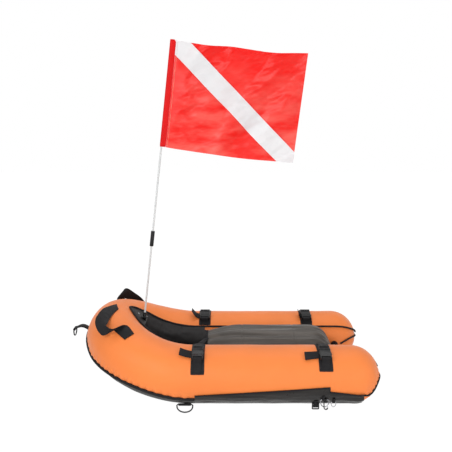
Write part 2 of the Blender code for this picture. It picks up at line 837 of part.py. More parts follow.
def build_patch(name):
    rows = []
    last = RIM_ANGLE - 3.5
    low = PATCH_LOW_ANGLE[name]
    marks = [low] + [a for a in grid_angles() if low + 1 < a < last - 1] + [last]
    for angle in marks:
        rows.append([strap_point(name, angle, CLOTH_LIFT, share * PATCH_W) for share in (-0.5, 0.5)])
    node = name + "_patch"
    mesh = sheet_mesh(node, rows)
    middle = marks[len(marks) // 2]
    wanted = strap_point(name, middle, 0.01) - strap_point(name, middle)
    face_towards_near(mesh, strap_point(name, middle), wanted)
    item = add_object(node, mesh, "black_cloth")
    solidify(item, PATCH_T, 1.0)


def surface_rows(name, first, last, lift, width):
    """Rows of a band on the tube, on the tube's own edges where they lie between."""
    low, high = min(first, last), max(first, last)
    marks = [low] + [a for a in grid_angles() if low + 1 < a < high - 1] + [high]
    if first > last:
        marks.reverse()
    return [[strap_point(name, angle, lift, share * width) for share in (-0.5, 0.5)] for angle in marks]


def ribbon_mesh(name, rows, side_rows=()):
    """A ribbon through rows of two points; side_rows add a tail to the last rows' second points."""
    built = bmesh.new()
    grid = [[built.verts.new(point) for point in row] for row in rows]
    for first, second in zip(grid, grid[1:]):
        built.faces.new((first[0], first[1], second[1], second[0]))
    if side_rows:
        start = len(grid) - len(side_rows)
        tail = [[grid[start + k][1]] + [built.verts.new(p) for p in row] for k, row in enumerate(side_rows)]
        for first, second in zip(tail, tail[1:]):
            for k in range(len(first) - 1):
                built.faces.new((first[k], first[k + 1], second[k + 1], second[k]))
    bmesh.ops.recalc_face_normals(built, faces=built.faces)
    mesh = bpy.data.meshes.new(name)
    built.to_mesh(mesh)
    built.free()
    return mesh


def build_strap(name):
    """Webbing from its sewn end over the tube, through the male half, with its tail to the bow."""
    place = clip_matrix(name)
    sign = pull_sign(name)
    angle = CLIP_ANGLE[side_of(name)]
    half = WEBBING_W / 2
    mid = WEBBING_T / 2
    lift = strap_lift() + mid + 0.0002
    sewn = RIM_ANGLE - 3.5 - STRAP_HEM if sign > 0 else PATCH_LOW_ANGLE[name] + STRAP_HEM
    male_l = MALE_BASE + 2 * MALE_BAR + 2 * MALE_SLOT
    landed = angle + sign * math.degrees((male_l + 0.021) / TUBE_R)
    rows = surface_rows(name, sewn, landed, lift, WEBBING_W)
    under = MALE_LOW - SEAT_GAP - mid
    over = MALE_LOW + MALE_H + SEAT_GAP + mid
    outer_slot = MALE_BASE + MALE_SLOT * 1.5 + MALE_BAR
    inner_slot = MALE_BASE + MALE_SLOT / 2
    route = [
        (male_l + 0.002, under - 0.0002),
        (outer_slot + 0.0014, under),
        (outer_slot, under + 0.0012),
        (outer_slot, over - 0.0012),
        (outer_slot - 0.0012, over),
        (inner_slot + 0.0012, over),
        (inner_slot, over - 0.0012),
        (inner_slot, 0.0),
    ]
    for x, z in route:
        rows.append([place @ Vector((x, -half, z)), place @ Vector((x, half, z))])
    tail_from = angle + sign * math.degrees((inner_slot - 0.0013) / TUBE_R)
    tail_to = tail_from - sign * math.degrees(WEBBING_W / TUBE_R)
    landing = surface_rows(name, tail_from, tail_to, lift, WEBBING_W)
    side_rows = []
    steps = [(0.30, 0.0), (0.65, 0.45), (1.0, 1.0)]
    marks = len(landing)
    for k in range(marks):
        share = k / (marks - 1)
        row_angle = tail_from + (tail_to - tail_from) * share
        if 0 < k < marks - 1:
            row_angle = [a for a in grid_angles() if min(tail_from, tail_to) + 1 < a < max(tail_from, tail_to) - 1]
            row_angle = sorted(row_angle, reverse=sign > 0)[k - 1]
        row = [strap_point(name, row_angle, lift, half + TAIL_START)]
        for along, rise in steps:
            out = lift + (TAIL_RISE[name] + TAIL_TWIST[name] * share) * rise
            turned_angle = row_angle + TAIL_TURN[name] * along
            row.append(strap_point(name, turned_angle, out, half + TAIL_START + TAIL_L[name] * along))
        side_rows.append(row)
    mesh = ribbon_mesh(name + "_strap", rows + landing, side_rows)
    item = add_object(name + "_strap", mesh, "black_webbing")
    solidify(item, WEBBING_T, 0.0)
    return item


def build_anchor(name):
    """The short webbing that holds the female half, looped through its bar."""
    place = clip_matrix(name)
    sign = pull_sign(name)
    angle = CLIP_ANGLE[side_of(name)]
    half = WEBBING_W / 2 - 0.0006
    mid = WEBBING_T / 2
    lift = strap_lift() + mid
    sewn = PATCH_LOW_ANGLE[name] + STRAP_HEM if sign > 0 else RIM_ANGLE - 3.5 - STRAP_HEM + 1.5
    slot = -FEMALE_L + FEMALE_BAR + FEMALE_SLOT / 2
    end = -FEMALE_L - 2 * SEAT_GAP - mid
    high = CLIP_H * 0.72 + 2 * SEAT_GAP + mid
    rows = []
    reach = angle - sign * math.degrees((FEMALE_L + 0.004) / TUBE_R)
    if sign * (reach - sewn) > 2.0:
        rows += surface_rows(name, sewn, reach, lift, 2 * half)
    else:
        rows += [[strap_point(name, reach, lift, -half), strap_point(name, reach, lift, half)]]
    for x, z in ((end, 0.0008), (end, high - 0.0012), (end + 0.0012, high), (slot - 0.0010, high),
                 (slot, high - 0.0012), (slot, 0.0004)):
        rows.append([place @ Vector((x, -half, z)), place @ Vector((x, half, z))])
    mesh = ribbon_mesh(name + "_anchor", rows)
    item = add_object(name + "_anchor", mesh, "black_webbing")
    solidify(item, WEBBING_T, 0.0)


def applied(item, helpers):
    """The mesh that an object's modifiers give; the object and its helpers go."""
    bpy.context.view_layer.update()
    graph = bpy.context.evaluated_depsgraph_get()
    mesh = bpy.data.meshes.new_from_object(item.evaluated_get(graph))
    for used in [item, *helpers]:
        bpy.data.objects.remove(used, do_unlink=True)
    return mesh


def clip_female_mesh():
    """Hollow half with side windows and a bar for its webbing, mouth towards +X."""
    body = rounded_box("female", (FEMALE_L, CLIP_W, CLIP_H), None, (-FEMALE_L / 2, 0, CLIP_H / 2), 0.0012)
    room_l = PRONG_L + 2 * SEAT_GAP
    room_size = (room_l + 0.01, CLIP_W - 2 * CLIP_WALL, CLIP_H - 2 * CLIP_WALL)
    room = rounded_box("female_room", room_size, None, ((0.01 - room_l) / 2, 0, CLIP_H / 2))
    lobe = rounded_box("female_lobe", (0.011, CLIP_W + 2 * CLIP_LOBE, 0.0062), None,
                       (-0.0125, 0, CLIP_H / 2), 0.0022)
    cut(body, lobe, "UNION")
    cut(body, room)
    window = rounded_box("female_window", (0.007, CLIP_W + 0.02, 0.0030), None, (-0.0125, 0, CLIP_H / 2))
    cut(body, window)
    slot_x = -FEMALE_L + FEMALE_BAR + FEMALE_SLOT / 2
    slot = rounded_box("female_slot", (FEMALE_SLOT, WEBBING_W + 0.0012, CLIP_H + 0.01), None,
                       (slot_x, 0, CLIP_H / 2))
    cut(body, slot)
    step = rounded_box("female_step", (FEMALE_BAR + 0.01, WEBBING_W + 0.0012, CLIP_H), None,
                       (-FEMALE_L - 0.005 + FEMALE_BAR / 2, 0, CLIP_H * 1.22))
    cut(body, step)
    return applied(body, (lobe, room, window, slot, step))


def clip_male_mesh():
    """A base plate, two prongs, a centre tongue, and a frame with two slots for the webbing."""
    base = rounded_box("male", (MALE_BASE, CLIP_W, CLIP_H), None,
                       (SEAT_GAP + MALE_BASE / 2, 0, CLIP_H / 2), 0.0010)
    male_l = MALE_BASE + 2 * MALE_BAR + 2 * MALE_SLOT
    pieces = []
    frame_l = male_l - MALE_BASE / 2
    frame_z = MALE_LOW + MALE_H / 2
    frame = rounded_box("male_frame", (frame_l, CLIP_W, MALE_H), None,
                        (SEAT_GAP + male_l - frame_l / 2, 0, frame_z), 0.0008)
    pieces.append(frame)
    reach = CLIP_W / 2 - CLIP_WALL - SEAT_GAP
    prong_h = CLIP_H - 2 * CLIP_WALL - 2 * SEAT_GAP
    for side in (-1.0, 1.0):
        prong = rounded_box("male_prong", (PRONG_L + MALE_BASE / 2, PRONG_W, prong_h), None,
                            ((MALE_BASE / 2 - PRONG_L) / 2, side * (reach - PRONG_W / 2), CLIP_H / 2))
        pieces.append(prong)
    tongue_l = PRONG_L * 0.7
    tongue = rounded_box("male_tongue", (tongue_l + MALE_BASE / 2, TONGUE_W, prong_h * 0.6), None,
                         ((MALE_BASE / 2 - tongue_l) / 2, 0, CLIP_H / 2))
    pieces.append(tongue)
    for piece in pieces:
        cut(base, piece, "UNION")
    slots = []
    for k in range(2):
        x = SEAT_GAP + MALE_BASE + MALE_SLOT / 2 + k * (MALE_SLOT + MALE_BAR)
        slot = rounded_box("male_slot", (MALE_SLOT, WEBBING_W + 0.0012, CLIP_H + 0.01), None, (x, 0, CLIP_H / 2))
        slots.append(slot)
        cut(base, slot)
    return applied(base, pieces + slots)


def build_clip_strap(name, female_mesh, male_mesh):
    build_patch(name)
    build_anchor(name)
    place = clip_matrix(name)
    for half, mesh in (("female", female_mesh), ("male", male_mesh)):
        item = add_object(name + "_" + half, mesh.copy(), "black_plastic", smooth=False)
        item.matrix_world = place
    strap = build_strap(name)
    strap.parent = item
    strap.matrix_parent_inverse = place.inverted()


# Rings, tabs and handles


def ring_points(width, drop, steps=12):
    """A D in its own XZ plane: bar along X at z = 0, bow hanging down; sizes to the wire's centre."""
    half = width / 2
    corner = min(0.25 * half, RING_CORNER)
    points = [(-half + corner, 0.0), (half - corner, 0.0)]
    for k in range(steps + 1):
        turn = math.pi * k / steps
        points.append((half * math.cos(turn), -corner - (drop - corner) * math.sin(turn) ** 0.85))
    return [Vector((x, 0.0, z)) for x, z in points]


def circle_points(radius, sides, centre=(0.0, 0.0)):
    """A circle run clockwise, for a hole."""
    points = []
    for k in range(sides):
        turn = -2 * math.pi * k / sides
        points.append((centre[0] + radius * math.cos(turn), centre[1] + radius * math.sin(turn)))
    return points


def keeper_outline(hole_r, wall, tail, steps=10):
    """A folded webbing keeper seen along the bar: a loop round it and a flat tail."""
    outer = hole_r + wall
    seat = outer * math.sin(math.radians(20.0))
    points = []
    for k in range(steps + 1):
        turn = math.radians(-200.0 + 220.0 * k / steps)
        points.append((outer * math.cos(turn), outer * math.sin(turn)))
    points.append((tail, seat))
    points.append((tail, seat + wall))
    points.append((-outer, seat + wall))
    return [points, circle_points(hole_r, 12)]


def keeper_seat(wire_d):
    """How far a ring's bar stands off the panel."""
    hole_r = wire_d / 2 + SEAT_GAP
    outer = hole_r + KEEPER_WALL
    return CLOTH_LIFT + PANEL_T + SEAT_GAP + KEEPER_WALL + outer * math.sin(math.radians(20.0)) + SEAT_GAP


def hang_place(x, angle, wire_d, side, along=True):
    """Where a ring's bar sits on the hull's underside: own +X along the bar, +Z up to the hull."""
    pivot = skin(leg_u(x), angle, keeper_seat(wire_d))
    normal = (skin(leg_u(x), angle, 0.01) - skin(leg_u(x), angle)).normalized()
    if side == "starboard":
        pivot = pivot * Vector((1, -1, 1))
        normal = normal * Vector((1, -1, 1))
    normal.x = 0.0
    upward = -normal.normalized()
    bar = Vector((1, 0, 0)) if along else Vector((1, 0, 0)).cross(upward).normalized()
    third = upward.cross(bar).normalized()
    turn = Matrix((bar, third, upward)).transposed().to_4x4()
    return Matrix.Translation(pivot) @ turn


def add_keeper(name, place, wire_d, width, flip=False):
    """The keeper round a bar at place; its tail runs along the place's Y."""
    outlines = keeper_outline(wire_d / 2 + SEAT_GAP, KEEPER_WALL, KEEPER_TAIL)
    sign = -1.0 if flip else 1.0
    turn = Matrix(((0, 0, 1, 0), (sign, 0, 0, 0), (0, 1, 0, 0), (0, 0, 0, 1)))
    if flip:
        outlines = [list(reversed(outline)) for outline in outlines]
    keeper = outline_plate(name, outlines, width, "black_webbing", place @ turn)
    mesh_from_curve(keeper)


def hang_ring(name, x, angle, width, drop, wire_d, keeper_w, kind, keeper_shift=0.0):
    """A D-ring with its bar along the hull, hanging straight down from its keeper."""
    place = hang_place(x, angle, wire_d, "port")
    shifted = Matrix.Translation((keeper_shift, 0, 0)) @ place
    add_keeper(name + "_keeper", shifted, wire_d, keeper_w, flip=True)
    ring = wire(name, ring_points(width, drop), wire_d / 2, kind, cyclic=True)
    ring.matrix_world = Matrix.Translation(place.translation)
    return place.translation


def build_rear_gear():
    """Small fittings low on the port stern: a slider, a ring with a snap clip, and an end ring."""
    place = hang_place(SLIDER_X, REAR_ANGLE["slider"], SLIDER_BAR_D, "port")
    add_keeper("slider_keeper", place, SLIDER_BAR_D, SLIDER_W * 0.62, flip=True)
    build_slider(place, REAR_WIRE)
    pivot = hang_ring("rear_ring", REAR_RING_X, REAR_ANGLE["rear"], REAR_RING_W, REAR_RING_DROP, REAR_WIRE,
                      REAR_KEEPER_W, "bright_steel", -0.0042)
    build_snap_clip(pivot, REAR_WIRE)
    hang_ring("end_ring", END_RING_X, REAR_ANGLE["end"], END_RING_W, END_RING_DROP, REAR_WIRE * 0.8, 0.0080,
              "bright_steel")


def build_slider(place, wire_d):
    """A flat plastic loop hung by its top bar, with a slot for webbing below."""
    half = SLIDER_W / 2
    bar = wire_d / 2
    outline = [(-half, bar), (half, bar), (half, bar - SLIDER_H + 0.002), (half - 0.002, bar - SLIDER_H),
               (-half + 0.002, bar - SLIDER_H), (-half, bar - SLIDER_H + 0.002)]
    room = SLIDER_W * 0.62 / 2 + SEAT_GAP
    under = SLIDER_BAR_D / 2 + KEEPER_WALL + 3 * SEAT_GAP
    top_hole = [(-room, -bar), (-room, -under), (room, -under), (room, -bar)]
    low = bar - SLIDER_H
    wide = half - 0.0030
    low_hole = [(-wide, low + 0.0060), (-wide, low + 0.0030), (wide, low + 0.0030), (wide, low + 0.0060)]
    turn = Matrix.Rotation(math.radians(90.0), 4, "X")
    place = Matrix.Translation(place.translation) @ turn
    plate = outline_plate("strap_slider", [outline, top_hole, low_hole], wire_d, "black_plastic", place)
    mesh_from_curve(plate)


def build_snap_clip(pivot, wire_d):
    """A plastic snap clip on the rear ring's bar: an eye, a hooked body in front and a sprung gate."""
    eye = wire_d / 2 + SEAT_GAP
    half = CLIP_BODY_W / 2
    rim = CLIP_RIM
    top = -eye - KEEPER_WALL - 3 * SEAT_GAP
    low = top - CLIP_BODY_L
    gate_high = top - rim - 0.0010
    gate_low = low + half
    inner = half - rim
    body = [(half - 0.002, top), (-half + 0.002, top), (-half, top - 0.002)]
    for k in range(7):
        turn = math.radians(180.0 + 180.0 * k / 6)
        body.append((half * math.cos(turn), gate_low + half * math.sin(turn)))
    body.append((inner, gate_low))
    for k in range(1, 6):
        turn = math.radians(-180.0 * k / 6)
        body.append((inner * math.cos(turn), gate_low + inner * math.sin(turn)))
    body += [(-inner, gate_low), (-inner, gate_high), (half, gate_high), (half, top - 0.002)]
    swing = Matrix.Rotation(math.radians(-CLIP_SWING), 4, "X")
    spot = Matrix.Translation(pivot + Vector((0.0028, 0, 0))) @ swing
    face = Matrix.Rotation(math.radians(90.0), 4, "X")
    plate = outline_plate("snap_clip", [body], CLIP_PLATE_T, "black_plastic", spot @ face)
    plate = mesh_from_curve(plate)
    outer = eye + 0.0013
    loop = []
    for k in range(13):
        turn = math.radians(-60.0 + 300.0 * k / 12)
        loop.append((outer * math.cos(turn), outer * math.sin(turn)))
    loop += [(-outer * 0.5, top - 0.0012), (outer * 0.5, top - 0.0012)]
    side = Matrix(((0, 0, 1, 0), (1, 0, 0, 0), (0, 1, 0, 0), (0, 0, 0, 1)))
    ring = outline_plate("snap_eye", [loop, circle_points(eye, 12)], CLIP_NECK_W, None, spot @ side)
    ring = mesh_from_curve(ring)
    cut(plate, ring, "UNION")
    length = gate_high - gate_low - 2 * SEAT_GAP
    wide = (rim - 0.0004) / 2
    gate = [(wide, 0.0), (wide, length), (-wide, length), (-wide, 0.0)]
    hinge = Matrix.Translation((half - wide, gate_low + SEAT_GAP, 0.0))
    bar = outline_plate("snap_gate", [gate], CLIP_PLATE_T * 0.8, "bright_steel", spot @ face @ hinge)
    mesh_from_curve(bar)


def build_tow_gear():
    """Folded webbing tab at the bow with a D-ring that hangs from its end."""
    root = skin(3.0, SEAM_ANGLE_BOW + 3.0, 0.0)
    hole_r = RING_WIRE / 2 + SEAT_GAP
    outer = hole_r + KEEPER_WALL
    top, low = [], []
    steps = 8
    for k in range(steps + 1):
        share = k / steps
        x = -CLOTH_LIFT - TOW_TAB_L * share
        z = TOW_TAB_ARCH * math.sin(math.pi * min(share * 0.95, 1.0)) + TOW_TAB_TILT * share
        top.append((x, z + TOW_TAB_T / 2))
        low.append((x, z - TOW_TAB_T / 2))
    end_x, end_z = top[-1][0], (top[-1][1] + low[-1][1]) / 2
    centre = (end_x - outer * 0.6, end_z - outer * 0.4)
    loop = []
    for k in range(9):
        turn = math.radians(100.0 + 215.0 * k / 8)
        loop.append((centre[0] + outer * math.cos(turn), centre[1] + outer * math.sin(turn)))
    outline = top + loop + list(reversed(low))
    turn = Matrix.Rotation(math.radians(90.0), 4, "X")
    place = Matrix.Translation((root.x, 0.0, root.z)) @ turn
    tab = outline_plate("tow_tab", [outline, circle_points(hole_r, 12, centre)], TOW_TAB_W, "black_webbing", place)
    mesh_from_curve(tab)
    points = ring_points(TOW_RING_W + 2 * RING_WIRE, TOW_RING_DROP)
    ring = wire("tow_ring", points, RING_WIRE / 2, "dark_steel", cyclic=True)
    pivot = Vector((root.x + centre[0], 0.0, root.z + centre[1]))
    ring.matrix_world = Matrix.Translation(pivot) @ Matrix.Rotation(math.radians(90.0), 4, "Z")


def build_handle(side, marks):
    """A broad webbing grab handle: two sewn ends on the bow shoulder and a loop between them."""
    across = 4
    rows = []
    for mark in smooth_marks(marks, 3):
        first, second = mark
        ends = [skin(u, angle, CLOTH_LIFT + HANDLE_T / 2 + stand * HANDLE_STAND) for u, angle, stand in mark]
        free = min(max(first[2], second[2]) / 12.0, 1.0)
        row = []
        for k in range(across + 1):
            share = k / across
            straight = ends[0].lerp(ends[1], share)
            u, angle, stand = (a + (b - a) * share for a, b in zip(first, second))
            laid = skin(u, angle, CLOTH_LIFT + HANDLE_T / 2 + 0.0005 + stand * HANDLE_STAND)
            row.append(laid.lerp(straight, free))
        rows.append(row)
    mesh = sheet_mesh(side + "_handle", rows)
    if side == "starboard":
        mesh.transform(Matrix.Diagonal((1, -1, 1, 1)))
    item = add_object(side + "_handle", mesh, "black_webbing")
    solidify(item, HANDLE_T, 0.0)


def smooth_marks(marks, steps):
    """Marks with smooth steps between them, each a pair of (u, angle, stand)."""
    result = []
    count = len(marks)
    for k in range(count - 1):
        before, first, second, after = (marks[max(min(j, count - 1), 0)] for j in (k - 1, k, k + 1, k + 2))
        for j in range(steps):
            t = j / steps
            pair = []
            for edge in range(2):
                values = []
                for i in range(3):
                    p0, p1, p2, p3 = before[edge][i], first[edge][i], second[edge][i], after[edge][i]
                    slope1, slope2 = (p2 - p0) / 2, (p3 - p1) / 2
                    value = ((2 * t ** 3 - 3 * t * t + 1) * p1 + (t ** 3 - 2 * t * t + t) * slope1
                             + (3 * t * t - 2 * t ** 3) * p2 + (t ** 3 - t * t) * slope2)
                    values.append(max(value, 0.0) if i == 2 else value)
                pair.append(tuple(values))
            result.append(tuple(pair))
    result.append(marks[-1])
    return result


# Mast and flag


def mast_matrix(along=0.0):
    """The mast's frame, its zero at the socket's mouth and +Z up the mast."""
    turn = Matrix.Rotation(math.radians(MAST_LEAN), 4, "Y")
    return Matrix.Translation((MAST_X, 0.0, MAST_Z)) @ turn @ Matrix.Translation((0.0, 0.0, along))


def on_mast(name, profile, kind, sides=MAST_SIDES):
    item = turned(name, profile, kind, sides)
    item.matrix_world = mast_matrix()
    return item


def build_mast():
    bore = MAST_R + MAST_FIT
    outer = bore + SOCKET_WALL
    low = -SOCKET_DEPTH
    flange = flange_place()
    socket = [
        (bore, 0.0),
        (outer, 0.0),
        (outer, flange + SOCKET_FLANGE_T),
        (SOCKET_FLANGE_R, flange + SOCKET_FLANGE_T),
        (SOCKET_FLANGE_R, flange),
        (outer, flange),
        (outer, low - SOCKET_FLOOR),
        (0.0, low - SOCKET_FLOOR),
        (0.0, low),
        (bore, low),
    ]
    on_mast("mast_socket", socket, "black_plastic")
    half_gap = SEAT_GAP / 2
    lower = [(0.0, FERRULE_MID - half_gap), (MAST_R, FERRULE_MID - half_gap), (MAST_R, low + SEAT_GAP),
             (0.0, low + SEAT_GAP)]
    upper = [(0.0, MAST_TOP), (MAST_R, MAST_TOP), (MAST_R, FERRULE_MID + half_gap), (0.0, FERRULE_MID + half_gap)]
    on_mast("lower_mast", lower, "white_rod")
    on_mast("upper_mast", upper, "white_rod")
    half = FERRULE_L / 2
    ferrule = [
        (bore, FERRULE_MID + half),
        (FERRULE_R - 0.0008, FERRULE_MID + half),
        (FERRULE_R, FERRULE_MID + half - 0.0008),
        (FERRULE_R, FERRULE_MID - half + 0.0008),
        (FERRULE_R - 0.0008, FERRULE_MID - half),
        (bore, FERRULE_MID - half),
    ]
    on_mast("mast_ferrule", ferrule, "black_plastic")
    cap_low = MAST_TOP - MAST_CAP_L + 0.0012
    cap_top = MAST_TOP + SEAT_GAP + 0.0012
    cap = [
        (0.0, cap_top),
        (MAST_CAP_R - 0.0006, cap_top),
        (MAST_CAP_R, cap_top - 0.0006),
        (MAST_CAP_R, cap_low),
        (MAST_R + 0.0001, cap_low),
        (MAST_R + 0.0001, MAST_TOP + SEAT_GAP),
        (0.0, MAST_TOP + SEAT_GAP),
    ]
    on_mast("mast_cap", cap, "black_plastic")


def panel_edge(u):
    """The mast panel's port edge against the well's wall."""
    lift = CLOTH_LIFT + PANEL_T + 0.0012
    return skin(u, rim_angle(u) + 9.0, lift)


def flange_place():
    """How far along the mast its socket crosses the mast panel's top, measured on the port side."""
    lean = math.radians(MAST_LEAN)
    axis = Vector((math.sin(lean), 0.0, math.cos(lean)))
    best = None
    for k in range(200):
        u = MAST_PANEL_REAR + (MAST_PANEL_NOSE - MAST_PANEL_REAR) * k / 199
        edge = panel_edge(u)
        along = (Vector((edge.x, 0.0, edge.z)) - Vector((MAST_X, 0.0, MAST_Z))).dot(axis)
        spot = Vector((MAST_X, 0.0, MAST_Z)) + axis * along
        miss = abs(spot.x - edge.x)
        if best is None or miss < best[0]:
            best = (miss, along)
    return best[1] + PANEL_T + SOCKET_FLANGE_R * 0.75 + SEAT_GAP


def build_mast_panel():
    """The cloth across the well's pointed front that carries the mast's socket and an eyelet."""
    rows = []
    for u in [MAST_PANEL_REAR] + stations(MAST_PANEL_REAR, MAST_PANEL_NOSE)[1:-1] + [MAST_PANEL_NOSE]:
        edge = panel_edge(u)
        rows.append([edge, Vector((edge.x, 0.0, edge.z)), edge * Vector((1, -1, 1))])
    mesh = sheet_mesh("mast_panel", rows)
    face_towards(mesh, Vector((0, 0, 1)))
    item = add_object("mast_panel", mesh, "black_cloth")
    solidify(item, PANEL_T, 1.0)
    reach = MAST_R + MAST_FIT + SOCKET_WALL + SEAT_GAP
    hole = on_mast("socket_hole", [(0.0, 0.03), (reach, 0.03), (reach, -0.07), (0.0, -0.07)], None)
    cut(item, hole)
    edge = panel_edge(EYELET_U)
    ahead = panel_edge(EYELET_U + EYELET_SPAN)
    behind = panel_edge(EYELET_U - EYELET_SPAN)
    slope = Vector((behind.x - ahead.x, 0.0, behind.z - ahead.z)).normalized()
    normal = Vector((-slope.z, 0.0, slope.x))
    if normal.z < 0:
        normal = -normal
    turn = Matrix((slope, normal.cross(slope), normal)).transposed().to_4x4()
    place = Matrix.Translation(Vector((edge.x, 0.0, edge.z)) + normal * PANEL_T) @ turn
    drill = turned("eyelet_hole", [(0.0, 0.01), (EYELET_HOLE + 0.0011, 0.01), (EYELET_HOLE + 0.0011, -0.01),
                                   (0.0, -0.01)], None, 16)
    drill.matrix_world = place
    cut(item, drill)
    profile = [
        (EYELET_HOLE, SEAT_GAP + EYELET_T),
        (EYELET_R, SEAT_GAP + EYELET_T),
        (EYELET_R, SEAT_GAP),
        (EYELET_HOLE + 0.0008, SEAT_GAP),
        (EYELET_HOLE + 0.0008, -PANEL_T - SEAT_GAP),
        (EYELET_HOLE, -PANEL_T - SEAT_GAP),
    ]
    eyelet = turned("panel_eyelet", profile, "bright_steel", 16)
    eyelet.matrix_world = place


def wave(across, down):
    """How far the flag's cloth stands off its plane."""
    grow = min(across / 0.16, 1.0)
    phase = 2 * math.pi * (across + WAVE_SLOPE * down) / WAVE_LENGTH
    return WAVE_HEIGHT * grow * math.sin(phase)


def flag_matrix():
    """The mast's place, turned so that the flag's free end comes towards the port side."""
    return mast_matrix() @ Matrix.Rotation(math.radians(-FLAG_YAW), 4, "Z")


def flag_top():
    return MAST_TOP + SEAT_GAP + 0.0012 + SEAT_GAP


def flag_point(across, down):
    """A point of the flag in the mast's frame: across aft of the mast, down from the top edge."""
    sag = FLAG_SAG * math.sin(math.pi * min(max(across / FLAG_L, 0.0), 1.0))
    return Vector((across, wave(max(across - SLEEVE_W, 0.0), down), flag_top() - down - sag))


def flag_base(name, kind):
    rows = []
    start = SLEEVE_W - MAST_R - 0.001
    for j in range(FLAG_ROWS + 1):
        down = FLAG_H * j / FLAG_ROWS
        rows.append([flag_point(start + (FLAG_L - start) * k / FLAG_COLUMNS, down) for k in range(FLAG_COLUMNS + 1)])
    mesh = sheet_mesh(name, rows)
    face_towards(mesh, Vector((0, 1, 0)))
    item = add_object(name, mesh, kind)
    solidify(item, FLAG_T, 0.0)
    item.matrix_world = flag_matrix()
    return item


def flag_cutter(name, corners):
    """A prism through the flag from corners given across and down."""
    outline = [(across, flag_top() - down) for across, down in corners]
    turn = Matrix.Rotation(math.radians(90.0), 4, "X")
    plate = outline_plate(name, [outline], 0.2, "red_cloth", flag_matrix() @ turn)
    return mesh_from_curve(plate)


def build_flag():
    half = SEAT_GAP / 2
    slope = STRIPE_END / (FLAG_L - STRIPE_TOP)
    shift = half * math.hypot(1.0, slope)
    far = FLAG_L + 0.1
    upper_line = [(across, slope * (across - STRIPE_TOP)) for across in (-0.1, far)]
    lower_line = [(across, down + STRIPE_LOW) for across, down in upper_line]
    upper = flag_base("flag_upper_panel", "red_cloth")
    corners = [(a, d - shift) for a, d in upper_line] + [(far, -0.9), (-0.1, -0.9)]
    cut(upper, flag_cutter("upper_outline", corners), "INTERSECT")
    stripe = flag_base("flag_stripe", "white_cloth")
    corners = [(a, d + shift) for a, d in upper_line] + [(a, d - shift) for a, d in reversed(lower_line)]
    cut(stripe, flag_cutter("stripe_outline", corners), "INTERSECT")
    lower = flag_base("flag_lower_panel", "red_cloth")
    corners = [(a, d + shift) for a, d in lower_line] + [(far, 0.9), (-0.1, 0.9)]
    cut(lower, flag_cutter("lower_outline", corners), "INTERSECT")
    build_sleeve()


def build_sleeve():
    """The cloth sleeve over the mast's tip, sewn shut at the top."""
    room = MAST_CAP_R + SEAT_GAP
    flat = SLEEVE_W - MAST_R - 0.001 - SEAT_GAP - FLAG_T
    profile = []
    for k in range(9):
        turn = math.radians(90.0 + 180.0 * k / 8)
        profile.append((room * math.cos(turn), room * math.sin(turn)))
    profile += [(flat, -0.0008), (flat, 0.0008)]
    top = flag_top()
    rows = []
    for z in (top - FLAG_H, top):
        rows.append([Vector((x, y, z)) for x, y in profile])
    built = bmesh.new()
    low, high = ([built.verts.new(point) for point in row] for row in rows)
    count = len(low)
    for k in range(count):
        after = (k + 1) % count
        built.faces.new((low[k], low[after], high[after], high[k]))
    built.faces.new(high)
    bmesh.ops.recalc_face_normals(built, faces=built.faces)
    mesh = bpy.data.meshes.new("flag_sleeve")
    built.to_mesh(mesh)
    built.free()
    face_towards_near(mesh, Vector((-room, 0, top - FLAG_H / 2)), Vector((-1, 0, 0)))
    item = add_object("flag_sleeve", mesh, "red_cloth")
    solidify(item, FLAG_T, 1.0)
    item.matrix_world = flag_matrix()


def build_hull():
    tube_shell("hull_cover", 0.0, COVER_T, "orange_cloth")
    tube_shell("air_bladder", COVER_T + 2 * SEAT_GAP, BLADDER_T, "bladder_film", every=2)
    build_valve()
    build_bottom_panel()
    build_floor_panel()
    for side in ("port", "starboard"):
        build_skirt(side)
        build_stern_piping(side)
    build_handle("port", PORT_HANDLE)
    build_handle("starboard", STARBOARD_HANDLE)
    build_well_liner()
    build_rim_piping()
    build_bow_piping()
    build_deck_cover()


def build_straps():
    female_mesh = clip_female_mesh()
    male_mesh = clip_male_mesh()
    for name in STRAP_X:
        build_clip_strap(name, female_mesh, male_mesh)


def build_rings():
    hang_ring("front_ring", D_RING_X, RING_ANGLE, D_RING_W, D_RING_DROP, RING_WIRE, KEEPER_W, "dark_steel")
    build_rear_gear()
    build_tow_gear()


def box_floor_centre():
    """The middle of the whole model's box, at its lowest height."""
    bpy.context.view_layer.update()
    graph = bpy.context.evaluated_depsgraph_get()
    low = Vector((1e9, 1e9, 1e9))
    high = -low
    for item in PARTS.objects:
        shown = item.evaluated_get(graph)
        mesh = shown.to_mesh()
        for vertex in mesh.vertices:
            place = item.matrix_world @ vertex.co
            low = Vector(map(min, low, place))
            high = Vector(map(max, high, place))
        shown.to_mesh_clear()
    return Vector(((low.x + high.x) / 2, (low.y + high.y) / 2, low.z))


def hang_on_root():
    """Parent every object to one empty and put the origin at the middle of the box's floor."""
    shift = box_floor_centre()
    root = bpy.data.objects.new("float_root", None)
    PARTS.objects.link(root)
    for item in [*PARTS.objects, *CUTTERS.objects]:
        if item is not root and item.parent is None:
            item.parent = root
    root.location = -shift
    bpy.context.view_layer.update()


build_hull()
build_straps()
build_rings()
build_mast()
build_mast_panel()
build_flag()
hang_on_root()
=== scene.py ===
import json
import math

import bmesh
import bpy
from mathutils import Matrix, Vector, noise


